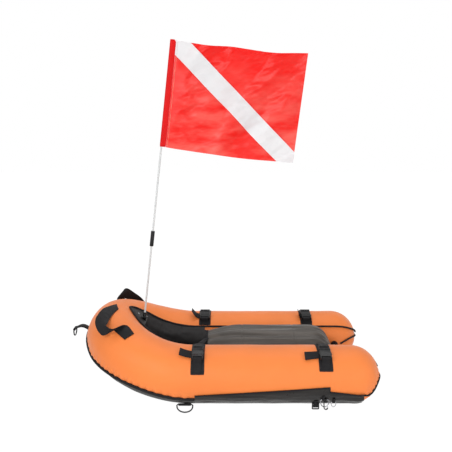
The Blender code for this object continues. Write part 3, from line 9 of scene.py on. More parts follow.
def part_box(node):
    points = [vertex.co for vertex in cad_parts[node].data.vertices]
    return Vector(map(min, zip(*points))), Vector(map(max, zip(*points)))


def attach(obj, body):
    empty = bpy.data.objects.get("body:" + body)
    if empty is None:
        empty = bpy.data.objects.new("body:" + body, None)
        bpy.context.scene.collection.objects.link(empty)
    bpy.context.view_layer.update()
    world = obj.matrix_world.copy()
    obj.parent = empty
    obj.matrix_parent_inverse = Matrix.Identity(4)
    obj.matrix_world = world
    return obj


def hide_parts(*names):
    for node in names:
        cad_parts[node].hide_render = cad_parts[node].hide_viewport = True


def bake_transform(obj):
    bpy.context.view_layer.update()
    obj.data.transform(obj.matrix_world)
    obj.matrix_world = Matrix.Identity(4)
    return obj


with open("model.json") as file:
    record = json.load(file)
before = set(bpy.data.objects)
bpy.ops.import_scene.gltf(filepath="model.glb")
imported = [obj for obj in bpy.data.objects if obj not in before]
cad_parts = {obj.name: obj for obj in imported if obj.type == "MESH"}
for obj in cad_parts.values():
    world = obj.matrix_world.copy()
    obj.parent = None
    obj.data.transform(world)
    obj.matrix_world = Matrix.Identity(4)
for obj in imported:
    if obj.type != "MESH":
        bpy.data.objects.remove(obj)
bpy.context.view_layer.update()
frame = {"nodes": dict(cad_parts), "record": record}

# Looks of a spearfishing board float. Metres, +Z up, -X the bow, -Y port. The hull's own frame has
# z = 0 at its sole and x = 0 amidships, as in the part's source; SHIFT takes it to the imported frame.

# Hull
TUBE_R = 0.084
TUBE_SIDES = 24
TUBE_SPREAD = 0.157
STERN_X = 0.454
STERN_ROUND = 0.082
BEND_X = -0.098
BOW_X = -0.440
BOW_RISE = 0.0810
BOW_RISE_POWER = 1.92
BOW_ROUNDNESS = 2.43
SHOULDER_SWELL = 0.066
LEG_Z = TUBE_R * math.cos(math.radians(180.0 / TUBE_SIDES)) + 0.0021
STERN_CENTRE_X = STERN_X - STERN_ROUND
BOW_REACH = BEND_X - BOW_X - TUBE_R
HULL_END = 6.0
AROUND = 96
CLOTH_LIFT = 0.0010
STERN_TURN = 89.0
MIRROR = Vector((1, -1, 1))

# Gathers beside the seams: their height and length along the tube
BOW_PUCKER = 0.0036
BOW_PUCKER_RUN = 0.019
STERN_PUCKER = 0.0017
STERN_PUCKER_RUN = 0.013
RIM_PUCKER = 0.0004
RIM_PUCKER_RUN = 0.024

# Seams and panels, as angles round the tube
RIM_ANGLE = 140.0
RIM_ANGLE_NOSE = 122.0
RIM_NOSE_SPAN = 0.20
SEAM_ANGLE_LEG = -33.0
SEAM_ANGLE_SHOULDER = -25.0
SEAM_ANGLE_BOW = -4.0
SKIRT_LOW_ANGLE = -53.0
PANEL_INNER_ANGLE = -116.0
LINER_BOTTOM_ANGLE = 237.0
LINER_REAR_X = -0.072
SKIRT_FRONT_X = -0.090
SKIRT_STEP_X = 0.297
SKIRT_REAR_X = 0.396
SKIRT_FRONT_TOP = -22.0
SKIRT_STEP_TOP = -2.0
SKIRT_DROP = 10.0
SKIRT_REAR_TOP = -20.0
SKIRT_LOOSE_X = 0.33
SKIRT_LIFT = 0.0012
TAPE_LIFT = 0.0027
SOLE_STEP_X = SKIRT_FRONT_X + 0.0015
SOLE_STEP_RUN = 0.0008
SOLE_LIFT = 0.0009
LINER_LIFT = 0.0020
STERN_SEAM = [(0.3995, -0.033), (0.409, -0.036), (0.4186, -0.033), (0.427, -0.024), (0.4335, -0.014),
              (0.442, -0.002), (0.4493, 0.004)]
STERN_SEAM_INNER = [(0.4493, 0.008), (0.442, 0.011), (0.4317, 0.013), (0.4195, 0.012), (0.4055, 0.008),
                    (0.389, 0.001)]
PIPING_R = 0.0030
BOW_PIPING_R = 0.0042
PIPING_LIFT = 0.0006
BOW_PIPING_SUNK = 0.0004
STERN_PIPING_SUNK = 0.0008
HULL_SEAM_X = 0.300
SKIRT_END_U = 1.985

# Thickness of the cloths
PANEL_T = 0.0009
SKIRT_T = 0.0010
TAPE_T = 0.0012
DECK_T = 0.0012
HEM_T = 0.0014
WEBBING_T = 0.0016
FLAG_T = 0.0005

# Deck
DECK_FRONT_X = -0.063
DECK_FLAT_X = 0.050
DECK_FALL_X = 0.262
DECK_REAR_X = 0.349
DECK_FRONT_Z = 0.115
DECK_CROWN = 0.036
DECK_REAR_Z = 0.030
DECK_SIDE_GAP = 0.0032
DECK_HEM = 0.0045
DECK_GATHER = 0.0036
DECK_GATHER_X = 0.255
DECK_BINDING_R = 0.0036
DECK_SEAMS = (0.052, 0.218)
DECK_FOLDS = ((0.30, -0.0022, 0.10), (0.02, 0.0038, 0.06), (-0.24, -0.0016, 0.10), (-0.50, 0.0046, 0.07),
              (-0.66, -0.0018, 0.06), (0.72, 0.0040, 0.06))
WELL_SEAMS = (-0.170, -0.108)

# Straps, mast and flag
STRAP_X = {"port_front": -0.082, "port_rear": 0.286, "starboard_front": -0.073, "starboard_rear": 0.276}
PATCH_HALF = 0.020
STITCH_LIFT = 0.0024
MOULDING_EDGE = 0.0004
PATCH_LOW_ANGLE = {"port_front": 21.5, "port_rear": 27.5, "starboard_front": 21.5, "starboard_rear": 21.5}
MAST_X = -0.2618
MAST_Z = 0.2230
MAST_LEAN = 6.84
FLAG_TOP = 0.8498
FLAG_L = 0.404
FLAG_H = 0.3165
FLAG_SAG = 0.005
FLAG_YAW = 7.0
SLEEVE_W = 0.018
SLEEVE_LAP = 0.004
STRIPE_TOP = 0.054
STRIPE_END = 0.284
STRIPE_LOW = 0.0745
STRIPE_SLOPE = STRIPE_END / (FLAG_L - STRIPE_TOP)
WAVE_HEIGHT = 0.018
WAVE_LENGTH = 0.230
WAVE_SLOPE = 0.55
FLAG_CREASE_LEAN = 28.0

# Scale of a wave texture that has one band a metre
WAVE_UNIT = 2.0 * math.pi / 20.0

# Light: the white room's level on the object, the floor's grey and how far it glows for the camera
WORLD_LEVEL = 0.45
FLOOR_GREY = 0.88
FLOOR_GLOW = 1.06
FLOOR_GLOW_SHARE = 0.94
FLOOR_SIZE = 14.0

# Camera, in the hull's own frame
CAMERA_AT = Vector((0.0, -1.70, 0.802))
CAMERA_TILT = 80.1
CAMERA_LENS = 43.73


def hull_shift():
    """From the hull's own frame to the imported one: the sole's height and a strap patch's middle."""
    low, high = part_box("port_rear_patch")
    return Vector(((low[0] + high[0]) / 2 - STRAP_X["port_rear"], 0.0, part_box("bottom_panel")[0][2]))


SHIFT = hull_shift()


# Materials


class Shader:
    """A Principled material with short calls to add its nodes."""

    def __init__(self, name, colour, roughness, metallic=0.0, specular=0.5):
        self.material = bpy.data.materials.new(name)
        self.material.use_nodes = True
        self.nodes = self.material.node_tree.nodes
        self.links = self.material.node_tree.links
        self.shader = self.nodes["Principled BSDF"]
        self.shader.inputs["Base Color"].default_value = (*colour, 1.0)
        self.shader.inputs["Roughness"].default_value = roughness
        self.shader.inputs["Metallic"].default_value = metallic
        self.shader.inputs["Specular IOR Level"].default_value = specular
        self.material.diffuse_color = (*colour, 1.0)
        self.place = self.nodes.new("ShaderNodeTexCoord")

    def add(self, kind, **sockets):
        node = self.nodes.new(kind)
        for key, value in sockets.items():
            name = key.replace("_", " ")
            if isinstance(value, bpy.types.NodeSocket):
                self.links.new(value, node.inputs[name])
            else:
                node.inputs[name].default_value = value
        return node

    def noise(self, scale, detail=3.0, roughness=0.5, vector=None):
        node = self.add("ShaderNodeTexNoise", Vector=vector or self.place.outputs["Object"], Scale=scale,
                        Detail=detail, Roughness=roughness)
        return node.outputs["Fac"]

    def stretched(self, scale, lean=0.0):
        """The object's coordinates scaled, and leaned about Y by an angle in degrees."""
        node = self.add("ShaderNodeMapping", Vector=self.place.outputs["Object"], Scale=scale,
                        Rotation=(0.0, math.radians(lean), 0.0))
        return node.outputs["Vector"]

    def ramp(self, factor, low, high, dark, bright):
        """A colour ramp between two positions, dark to bright as greys or colours."""
        node = self.add("ShaderNodeValToRGB", Fac=factor)
        for element, position, colour in zip(node.color_ramp.elements, (low, high), (dark, bright)):
            element.position = position
            element.color = as_rgba(colour)
        return node.outputs["Color"]

    def mix(self, factor, first, second, blend="MIX"):
        node = self.add("ShaderNodeMixRGB", Fac=factor, Color1=as_rgba(first), Color2=as_rgba(second))
        node.blend_type = blend
        return node.outputs["Color"]

    def weave(self, pitch, profile="UV"):
        """Threads over and under, as a grey value; pitch is one thread's width."""
        bands = []
        for direction in ("X", "Y"):
            node = self.add("ShaderNodeTexWave", Vector=self.place.outputs[profile],
                            Scale=WAVE_UNIT / (2.0 * pitch), Distortion=0.0)
            node.wave_type = "BANDS"
            node.bands_direction = direction
            bands.append(node.outputs["Color"])
        return self.mix(1.0, bands[0], bands[1], "DIFFERENCE")

    def bump(self, height, strength, distance, under=None):
        node = self.add("ShaderNodeBump", Strength=strength, Distance=distance, Height=height)
        if under is not None:
            self.links.new(under, node.inputs["Normal"])
        return node.outputs["Normal"]

    def out(self, colour, roughness=None, normal=None, sheen=0.0):
        for socket, value in (("Base Color", colour), ("Roughness", roughness), ("Normal", normal)):
            if value is not None:
                self.links.new(value, self.shader.inputs[socket])
        self.shader.inputs["Sheen Weight"].default_value = sheen
        return self.material


def as_rgba(value):
    """What a colour socket takes for a grey, a colour or another socket."""
    if isinstance(value, bpy.types.NodeSocket):
        return value
    return (*value, 1.0) if isinstance(value, tuple) else (value, value, value, 1.0)


def scaled(colour, factor):
    return tuple(min(c * factor, 1.0) for c in colour)


def coated_cloth(name, colour, roughness, pitch, soil=0.10, crumple=0.0, specular=0.32, painted_fold_shading=0.0,
                 sheen=0.0):
    """Coated woven cloth: thread relief, slow colour drift, scuffs, long streaks of painted highlight and
    painted shade along its folds, and crumpling.
    """
    made = Shader(name, colour, roughness, specular=specular)
    drift = made.noise(7.0, 4.0)
    blotch = made.noise(38.0, 5.0, 0.65)
    shade = made.ramp(drift, 0.30, 0.72, 0.0, 1.0)
    shade = made.mix(shade, scaled(colour, 1.0 - soil), scaled(colour, 1.04))
    threads = made.weave(pitch)
    shade = made.mix(made.ramp(threads, 0.0, 0.9, 0.0, 0.16), shade, scaled(colour, 0.72))
    shade = made.mix(made.ramp(blotch, 0.62, 0.80, 0.0, 0.22), shade, scaled(colour, 0.86))
    # Long streaks along the cloth, painted lighter and darker: a painted highlight and painted shade of
    # glossy folds.
    if painted_fold_shading:
        long = made.noise(1.0, 3.0, 0.5, made.stretched((5.0, 34.0, 62.0)))
        shade = made.mix(made.ramp(long, 0.46, 0.64, 0.0, painted_fold_shading), shade, scaled(colour, 1.9))
        shade = made.mix(made.ramp(long, 0.32, 0.50, painted_fold_shading, 0.0), shade, scaled(colour, 0.40))
    rough = made.ramp(blotch, 0.25, 0.80, roughness - 0.07, min(roughness + 0.12, 1.0))
    normal = made.bump(threads, 0.28, 0.00012)
    folds = made.noise(26.0, 4.0, 0.55)
    normal = made.bump(folds, 0.25 + crumple, 0.0022, normal)
    return made.out(shade, rough, normal, sheen)


def flag_cloth(name, colour, highlight_colour):
    """Thin satin flag cloth, with a painted highlight along its slanting creases that grows towards its foot.
    """
    made = Shader(name, colour, 0.31, specular=0.22)
    threads = made.weave(0.0006)
    crease = made.noise(1.0, 3.0, 0.55, made.stretched((9.0, 9.0, 27.0), FLAG_CREASE_LEAN))
    # The flag's painted highlight grows from its top towards its foot.
    place = made.add("ShaderNodeSeparateXYZ", Vector=made.place.outputs["Object"])
    top = SHIFT.z + MAST_Z + FLAG_TOP
    wear_and_painted_highlight = made.add("ShaderNodeMapRange", Value=place.outputs["Z"], From_Min=top, From_Max=top - FLAG_H,
                    To_Min=0.0, To_Max=0.85)
    # Paler streaks along the creases: a painted highlight.
    painted_fold_shading = made.ramp(crease, 0.40, 0.66, 0.10, 1.0)
    painted_fold_shading = made.mix(1.0, painted_fold_shading, wear_and_painted_highlight.outputs["Result"], "MULTIPLY")
    shade = made.mix(painted_fold_shading, colour, highlight_colour)
    shade = made.mix(made.ramp(threads, 0.0, 0.9, 0.0, 0.12), shade, scaled(colour, 0.80))
    normal = made.bump(threads, 0.25, 0.0001)
    normal = made.bump(crease, 0.35, 0.0040, normal)
    return made.out(shade, None, normal)


def webbing_cloth(name, colour, pitch=0.0016, roughness=0.72):
    """Thick woven tape: threads over and under, with paler fibres from wear."""
    made = Shader(name, colour, roughness, specular=0.20)
    threads = made.weave(pitch * 0.5, "Object")
    fibres = made.noise(900.0, 3.0, 0.7)
    wear_and_painted_highlight = made.noise(55.0, 5.0, 0.6)
    shade = made.mix(made.ramp(threads, 0.05, 0.9, 0.0, 0.45), scaled(colour, 1.35), scaled(colour, 0.55))
    shade = made.mix(made.ramp(wear_and_painted_highlight, 0.55, 0.78, 0.0, 0.40), shade, scaled(colour, 3.2))
    shade = made.mix(made.ramp(fibres, 0.45, 0.75, 0.0, 0.25), shade, scaled(colour, 2.2))
    rough = made.ramp(wear_and_painted_highlight, 0.3, 0.8, roughness - 0.10, min(roughness + 0.15, 1.0))
    normal = made.bump(threads, 0.55, 0.00025)
    normal = made.bump(fibres, 0.25, 0.0001, normal)
    return made.out(shade, rough, normal)


def moulded(name, colour, roughness=0.38, grain=1400.0):
    """Moulded plastic, and thread: fine grain and faint flow marks."""
    made = Shader(name, colour, roughness, specular=0.20)
    fine = made.noise(grain, 2.0, 0.6)
    flow = made.noise(60.0, 3.0)
    shade = made.ramp(flow, 0.35, 0.75, 0.0, 0.6)
    shade = made.mix(shade, scaled(colour, 0.85), scaled(colour, 1.5))
    rough = made.ramp(flow, 0.3, 0.8, roughness - 0.06, roughness + 0.12)
    return made.out(shade, rough, made.bump(fine, 0.18, 0.0001))


def metal(name, colour, roughness=0.22):
    """Welded and tumbled steel: fine scratches and slightly uneven polish."""
    made = Shader(name, colour, roughness, 1.0)
    scratch = made.noise(420.0, 6.0, 0.7)
    patch = made.noise(70.0, 3.0)
    shade = made.mix(made.ramp(patch, 0.35, 0.7, 0.0, 1.0), scaled(colour, 0.78), colour)
    rough = made.ramp(scratch, 0.35, 0.75, roughness - 0.08, roughness + 0.18)
    return made.out(shade, rough, made.bump(scratch, 0.10, 0.0001))


def glass_rod(name, colour):
    """Pultruded fibreglass rod: white gel skin with fibres along it."""
    made = Shader(name, colour, 0.32)
    fibres = made.noise(1.0, 4.0, 0.6, made.stretched((420.0, 420.0, 9.0)))
    shade = made.mix(made.ramp(fibres, 0.35, 0.75, 0.0, 0.4), colour, scaled(colour, 0.93))
    return made.out(shade, made.ramp(fibres, 0.3, 0.8, 0.28, 0.42))


ORANGE = (0.90, 0.237, 0.052)
GREY = (0.060, 0.051, 0.043)
SKIRT_GREY = (0.016, 0.014, 0.013)
SOLE_GREY = (0.030, 0.028, 0.026)
BLACK = (0.0085, 0.0080, 0.0088)
WELL_BLACK = (0.016, 0.014, 0.014)
RED = (0.84, 0.0050, 0.0020)
DARK_RED = (0.68, 0.0050, 0.0050)
WHITE = (0.76, 0.75, 0.76)

orange = coated_cloth("orange_cloth", ORANGE, 0.50, 0.0008, soil=0.07, specular=0.28, sheen=0.12)
grey = coated_cloth("grey_cloth", GREY, 0.34, 0.0008, crumple=0.20, painted_fold_shading=0.40)
skirt_grey = coated_cloth("skirt_cloth", SKIRT_GREY, 0.30, 0.0008, crumple=0.30, specular=0.24, painted_fold_shading=0.65)
sole_grey = coated_cloth("sole_cloth", SOLE_GREY, 0.52, 0.0008, crumple=0.25)
well_black = coated_cloth("well_cloth", WELL_BLACK, 0.58, 0.0009, crumple=0.30)
binding = webbing_cloth("black_binding", BLACK, 0.0012)
webbing = webbing_cloth("black_webbing", BLACK)
backing = webbing_cloth("black_backing", scaled(BLACK, 1.3), 0.0020)
# The third colour, a light pink, is the painted highlight along the flag's creases.
red = flag_cloth("red_flag_cloth", RED, (0.88, 0.145, 0.115))
dark_red = coated_cloth("sleeve_red_cloth", DARK_RED, 0.45, 0.0006, specular=0.15)
white = coated_cloth("white_flag_cloth", WHITE, 0.58, 0.0006, soil=0.04)
thread_dark = moulded("dark_thread", (0.045, 0.040, 0.040), 0.75)
thread_pale = moulded("pale_thread", (0.80, 0.60, 0.42), 0.75)
plastic = moulded("black_plastic", (0.0085, 0.0085, 0.0090), 0.22)
red_thread = moulded("red_thread", (0.45, 0.02, 0.02), 0.70)
dark_steel = metal("dark_steel", (0.040, 0.040, 0.043), 0.28)
bright_steel = metal("bright_steel", (0.44, 0.44, 0.46), 0.20)
rod_white = glass_rod("white_rod", (0.65, 0.66, 0.66))
film = moulded("bladder_film", (0.62, 0.60, 0.55), 0.35, 300.0)


# Hull surface


def smooth_step(share):
    share = min(max(share, 0.0), 1.0)
    return share * share * (3.0 - 2.0 * share)


def bell(off, width):
    return math.exp(-(off / width) ** 2)


def centre_line(u):
    """Centre, radius and swell of the tube at u on the port half: 0 stern tip, 1 leg, 2 bow, 3 nose."""
    if u <= 1.0:
        turn = math.radians(STERN_TURN) * (1.0 - u)
        x = STERN_CENTRE_X + STERN_ROUND * math.sin(turn)
        return Vector((x, -TUBE_SPREAD, LEG_Z)), TUBE_R * math.cos(turn), 0.0
    if u <= 2.0:
        x = STERN_CENTRE_X + (BEND_X - STERN_CENTRE_X) * (u - 1.0)
        return Vector((x, -TUBE_SPREAD, LEG_Z)), TUBE_R, 0.0
    turn = math.radians(90.0) * (min(u, 3.0) - 2.0)
    power = 2.0 / BOW_ROUNDNESS
    x = BEND_X - BOW_REACH * math.sin(turn) ** power
    y = -TUBE_SPREAD * max(math.cos(turn), 0.0) ** power
    rise = BOW_RISE * ((BEND_X - x) / BOW_REACH) ** BOW_RISE_POWER
    return Vector((x, y, LEG_Z + rise)), TUBE_R, SHOULDER_SWELL * math.sin(2.0 * turn) ** 2


def tube_frame(u):
    """Centre, radius, swell, outward and upward directions, and end lean at u."""
    if u > 3.0:
        centre, radius, swell, out, up, ahead = tube_frame(HULL_END - u)
        return centre * MIRROR, radius, swell, out * MIRROR, up * MIRROR, ahead * MIRROR
    centre, radius, swell = centre_line(u)
    if u <= 2.0:
        lean = math.radians(STERN_TURN) * max(1.0 - u, 0.0)
        return centre, radius, swell, Vector((0, -1, 0)), Vector((0, 0, 1)), Vector((math.sin(lean), 0, 0))
    if u >= 3.0:
        return centre, radius, swell, Vector((-1, 0, 0)), Vector((0, 0, 1)), Vector((0, 0, 0))
    before = centre_line(max(u - 0.01, 2.0))[0]
    after = centre_line(min(u + 0.01, 3.0))[0]
    along = (after - before).normalized()
    out = along.cross(Vector((0, 0, 1))).normalized()
    out = -out if out.y > 0 else out
    up = Vector((0, 0, 1)) - along * along.z
    return centre, radius, swell, out, up.normalized(), Vector((0, 0, 0))


def skin(u, angle, lift=0.0):
    """A point on the hull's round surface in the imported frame, 0 degrees outboard and 90 on top."""
    centre, radius, swell, out, up, ahead = tube_frame(u)
    turn = math.radians(angle)
    flat = math.sqrt(max(1.0 - ahead.length_squared, 0.0))
    rim = out * (math.cos(turn) * (1.0 + swell)) + up * math.sin(turn)
    normal = out * math.cos(turn) + up * math.sin(turn)
    return SHIFT + centre + rim * (radius - 0.0003) + (normal * flat + ahead) * lift


def leg_u(x):
    """The place u on the port side of a length x."""
    if x > STERN_CENTRE_X:
        return 1.0 - math.degrees(math.asin(min((x - STERN_CENTRE_X) / STERN_ROUND, 1.0))) / STERN_TURN
    if x < BEND_X:
        reach = min((BEND_X - x) / BOW_REACH, 1.0)
        return 2.0 + math.degrees(math.asin(reach ** (BOW_ROUNDNESS / 2))) / 90.0
    return 1.0 + (STERN_CENTRE_X - x) / (STERN_CENTRE_X - BEND_X)


def seam_angle(u):
    """The outer seam's angle: low on the legs, rising to the tow tab at the bow."""
    near = max(min(u, HULL_END - u) - 2.0, 0.0)
    shoulder = smooth_step(near / 0.38)
    nose = smooth_step((near - 0.7) / 0.3)
    return (SEAM_ANGLE_LEG + (SEAM_ANGLE_SHOULDER - SEAM_ANGLE_LEG) * shoulder
            + (SEAM_ANGLE_BOW - SEAM_ANGLE_SHOULDER) * nose)


def rim_angle(u):
    """The angle of the well's edge: level on the legs, running to a point at the nose."""
    away = min(abs(3.0 - u) / RIM_NOSE_SPAN, 1.0)
    return RIM_ANGLE_NOSE + (RIM_ANGLE - RIM_ANGLE_NOSE) * (1.0 - (1.0 - away) ** 1.6)


def stern_seam_angle(u):
    """The stern seam's angle outboard, for its puckers."""
    x = centre_line(min(u, HULL_END - u))[0].x
    for (x0, rise0), (x1, rise1) in zip(STERN_SEAM, STERN_SEAM[1:]):
        if x0 <= x <= x1:
            rise = rise0 + (rise1 - rise0) * (x - x0) / (x1 - x0)
            radius = centre_line(min(u, HULL_END - u))[1]
            return math.degrees(math.asin(max(min(rise / radius, 1.0), -1.0)))
    return None


def run_length(u):
    """Metres along the tube, roughly, from the port stern tip."""
    near = min(u, HULL_END - u)
    length = 0.13 * min(near, 1.0) + 0.47 * min(max(near - 1.0, 0.0), 1.0) + 0.42 * max(near - 2.0, 0.0)
    return length if u <= 3.0 else 2.04 - length


def round_off(angle, other, radius=TUBE_R):
    """Metres round the tube between two angles."""
    return math.radians(abs(angle - other)) * radius


def puckers(u, angle):
    """Small gathers beside the seams, and the slow unevenness of a pumped cloth tube."""
    s = run_length(u)
    place = Vector((s * 9.0, angle / 40.0, 0.0))
    lift = 0.0007 * noise.noise(place * 1.3) + 0.0004 * noise.noise(place * 3.1 + Vector((7, 3, 1)))
    near = min(u, HULL_END - u)
    if near > SKIRT_END_U:
        off = round_off(angle, seam_angle(u))
        ripple = math.sin(s * 2 * math.pi / BOW_PUCKER_RUN + 2.5 * noise.noise(Vector((s * 30.0, 2.0, 5.0))))
        fold = (0.5 + 0.5 * ripple) * (1.0 + 0.9 * noise.noise(place * 2.0))
        fold *= smooth_step((near - SKIRT_END_U) / 0.05)
        if angle > seam_angle(u):
            lift += BOW_PUCKER * fold * bell(off - 0.012, 0.011)
        lift -= 0.0006 * bell(off, 0.006)
    seam = stern_seam_angle(u)
    if seam is not None and angle < 90.0:
        off = round_off(angle, seam, centre_line(near)[1])
        ripple = math.sin(s * 2 * math.pi / STERN_PUCKER_RUN + angle * 0.25)
        lift += STERN_PUCKER * (1.0 + ripple) * bell(off - 0.009, 0.011)
    if -30.0 < angle < 80.0 and 1.0 < near < 2.0:
        lift -= 0.0009 * bell(centre_line(near)[0].x - HULL_SEAM_X, 0.0022)
    off = round_off(angle, rim_angle(u))
    ripple = math.sin(s * 2 * math.pi / RIM_PUCKER_RUN + 3.0 * noise.noise(Vector((s * 22.0, 9.0, 1.0))))
    lift += RIM_PUCKER * ripple * bell(off, 0.014)
    return lift


# Meshes


def finished(built, name):
    """A mesh from a bmesh, which is freed."""
    mesh = bpy.data.meshes.new(name)
    built.to_mesh(mesh)
    built.free()
    return mesh


def linked(name, data):
    item = bpy.data.objects.new(name, data)
    bpy.context.scene.collection.objects.link(item)
    return item


def evaluated(item):
    """The item's mesh with its modifiers or bevel applied."""
    bpy.context.view_layer.update()
    graph = bpy.context.evaluated_depsgraph_get()
    return bpy.data.meshes.new_from_object(item.evaluated_get(graph))


def applied(item):
    """The evaluated mesh of an item that is then removed."""
    mesh = evaluated(item)
    bpy.data.objects.remove(item, do_unlink=True)
    return mesh


def mesh_object(name, mesh, material, thickness=0.0, offset=-1.0):
    """A smooth object of the mesh, thickened to cloth where a thickness is given."""
    mesh.materials.clear()
    mesh.materials.append(material)
    mesh.shade_smooth()
    item = linked(name, mesh)
    if thickness:
        modifier = item.modifiers.new("thickness", "SOLIDIFY")
        modifier.thickness = thickness
        modifier.offset = offset
        thick = evaluated(item)
        item.modifiers.clear()
        item.data = thick
        thick.shade_smooth()
        thick.set_sharp_from_angle(angle=math.radians(50.0))
    return item


def sheet_mesh(name, rows, closed=False):
    """A sheet through rows of points, with a UV map in metres; closed joins the sides and caps the ends."""
    built = bmesh.new()
    layer = built.loops.layers.uv.new("cloth")
    grid = [[built.verts.new(point) for point in row] for row in rows]
    down = [0.0]
    for first, second in zip(rows, rows[1:]):
        middle = len(first) // 2
        down.append(down[-1] + (second[middle] - first[middle]).length)
    widest = max(rows, key=lambda row: sum((b - a).length for a, b in zip(row, row[1:])))
    across = [0.0]
    for first, second in zip(widest, widest[1:]):
        across.append(across[-1] + (second - first).length)
    across.append(across[-1] + (widest[-1] - widest[0]).length)
    count = len(rows[0])
    for k, (first, second) in enumerate(zip(grid, grid[1:])):
        for j in range(count if closed else count - 1):
            n = (j + 1) % count
            face = built.faces.new((first[j], first[n], second[n], second[j]))
            values = ((down[k], across[j]), (down[k], across[j + 1]), (down[k + 1], across[j + 1]),
                      (down[k + 1], across[j]))
            for loop, value in zip(face.loops, values):
                loop[layer].uv = value
    if closed:
        built.faces.new(grid[0])
        built.faces.new(list(reversed(grid[-1])))
    bmesh.ops.recalc_face_normals(built, faces=built.faces)
    return finished(built, name)


def cloth_piece(name, rows, material, place, direction, thickness):
    """An open sheet whose face nearest to place looks along direction, with its thickness behind it."""
    mesh = sheet_mesh(name, rows)
    nearest = min(mesh.polygons, key=lambda face: (face.center - place).length)
    if nearest.normal.dot(direction) < 0:
        mesh.flip_normals()
    return mesh_object(name, mesh, material, thickness)


def placed(item, body, slot, *nodes):
    """Ride the piece on its body and hide the nodes that it stands for; slot is not used."""
    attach(item, body)
    if nodes:
        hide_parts(*nodes)
    return item


def tube_line(name, points, radius, material, sides=10):
    """A round cord sewn in a seam, swept along points as a mesh."""
    curve = bpy.data.curves.new(name, "CURVE")
    curve.dimensions = "3D"
    curve.bevel_depth = radius
    curve.bevel_resolution = sides // 2 - 2
    curve.use_fill_caps = True
    line = curve.splines.new("POLY")
    line.points.add(len(points) - 1)
    for target, point in zip(line.points, points):
        target.co = (*point, 1.0)
    return mesh_object(name, applied(linked(name + "_line", curve)), material)


def span(first, last, steps):
    return [first + (last - first) * k / steps for k in range(steps + 1)]


def hull_marks():
    port = span(0.0, 1.0, 18) + span(1.0, 2.0, 60)[1:] + span(2.0, 3.0, 110)[1:]
    port = sorted(port + [leg_u(HULL_SEAM_X + off) for off in (-0.004, -0.0022, 0.0, 0.0022, 0.004)])
    return port + [HULL_END - u for u in reversed(port[:-1])]


def band_marks(first, last):
    return [first] + [u for u in hull_marks() if first + 0.002 < u < last - 0.002] + [last]


def build_hull_skin():
    angles = [-180.0 + 360.0 * k / AROUND for k in range(AROUND)]
    rows = [[skin(u, angle, puckers(u, angle)) for angle in angles] for u in hull_marks()]
    item = mesh_object("hull_skin", sheet_mesh("hull_skin", rows, closed=True), orange)
    placed(item, "hull", "orange_cloth", "hull_cover")


def cloth_band(name, marks, angles, lift, material, steps, ripple=0.0, seams=()):
    """A cloth panel on the hull; angles gives a mark's first and last angle, seams the cross seams' x."""
    rows = []
    for u in marks:
        first, last = angles(u)
        row = []
        s = run_length(u)
        for angle in span(first, last, steps):
            wrinkle = ripple * noise.noise(Vector((s * 26.0, angle / 9.0, 4.0)))
            wrinkle += 0.5 * ripple * noise.noise(Vector((s * 60.0, angle / 5.0, 8.0)))
            wrinkle += ripple * noise.noise(Vector((s * 8.0, angle / 7.0, 6.0)))
            for x in seams:
                off = centre_line(min(u, HULL_END - u))[0].x - x
                wrinkle += 0.0016 * bell(off, 0.003) - 0.0010 * bell(off, 0.010)
            row.append(skin(u, angle, lift + puckers(u, angle) * 0.5 + max(wrinkle, -0.0006)))
        rows.append(row)
    middle = marks[len(marks) // 2]
    angle = sum(angles(middle)) / 2
    place = skin(middle, angle)
    return cloth_piece(name, rows, material, place, skin(middle, angle, 0.01) - place, PANEL_T)


def build_sole():
    front = leg_u(STERN_CENTRE_X - 0.001)
    step = leg_u(SOLE_STEP_X)

    def angles(u):
        near = min(u, HULL_END - u)
        outer = seam_angle(u) - 2.0 if near > step - SOLE_STEP_RUN / 8 else SKIRT_LOW_ANGLE - 0.4
        return outer, PANEL_INNER_ANGLE

    ends = [step - SOLE_STEP_RUN, step, HULL_END - step, HULL_END - step + SOLE_STEP_RUN]
    marks = sorted(band_marks(front, HULL_END - front) + ends)
    item = cloth_band("sole_skin", marks, angles, CLOTH_LIFT + SOLE_LIFT, sole_grey, 22, 0.0004)
    placed(item, "hull", "grey_cloth", "bottom_panel")


def skirt_top(x):
    if x <= SKIRT_STEP_X:
        share = (x - SKIRT_FRONT_X) / (SKIRT_STEP_X - SKIRT_FRONT_X)
        return SKIRT_FRONT_TOP + (SKIRT_STEP_TOP - SKIRT_FRONT_TOP) * share
    share = (x - SKIRT_STEP_X) / (SKIRT_REAR_X - SKIRT_STEP_X)
    start = SKIRT_STEP_TOP - SKIRT_DROP
    return start + (SKIRT_REAR_TOP - start) * share


def skirt_flap(x, angle):
    """How far the skirt's loose rear end stands off the tube."""
    loose = smooth_step((x - SKIRT_LOOSE_X) / (SKIRT_REAR_X - SKIRT_LOOSE_X))
    return loose * (0.0022 + 0.0016 * math.sin(angle * 0.30))


def on_side(side, points):
    """The points, mirrored for the starboard side."""
    return [point * MIRROR for point in points] if side == "starboard" else points


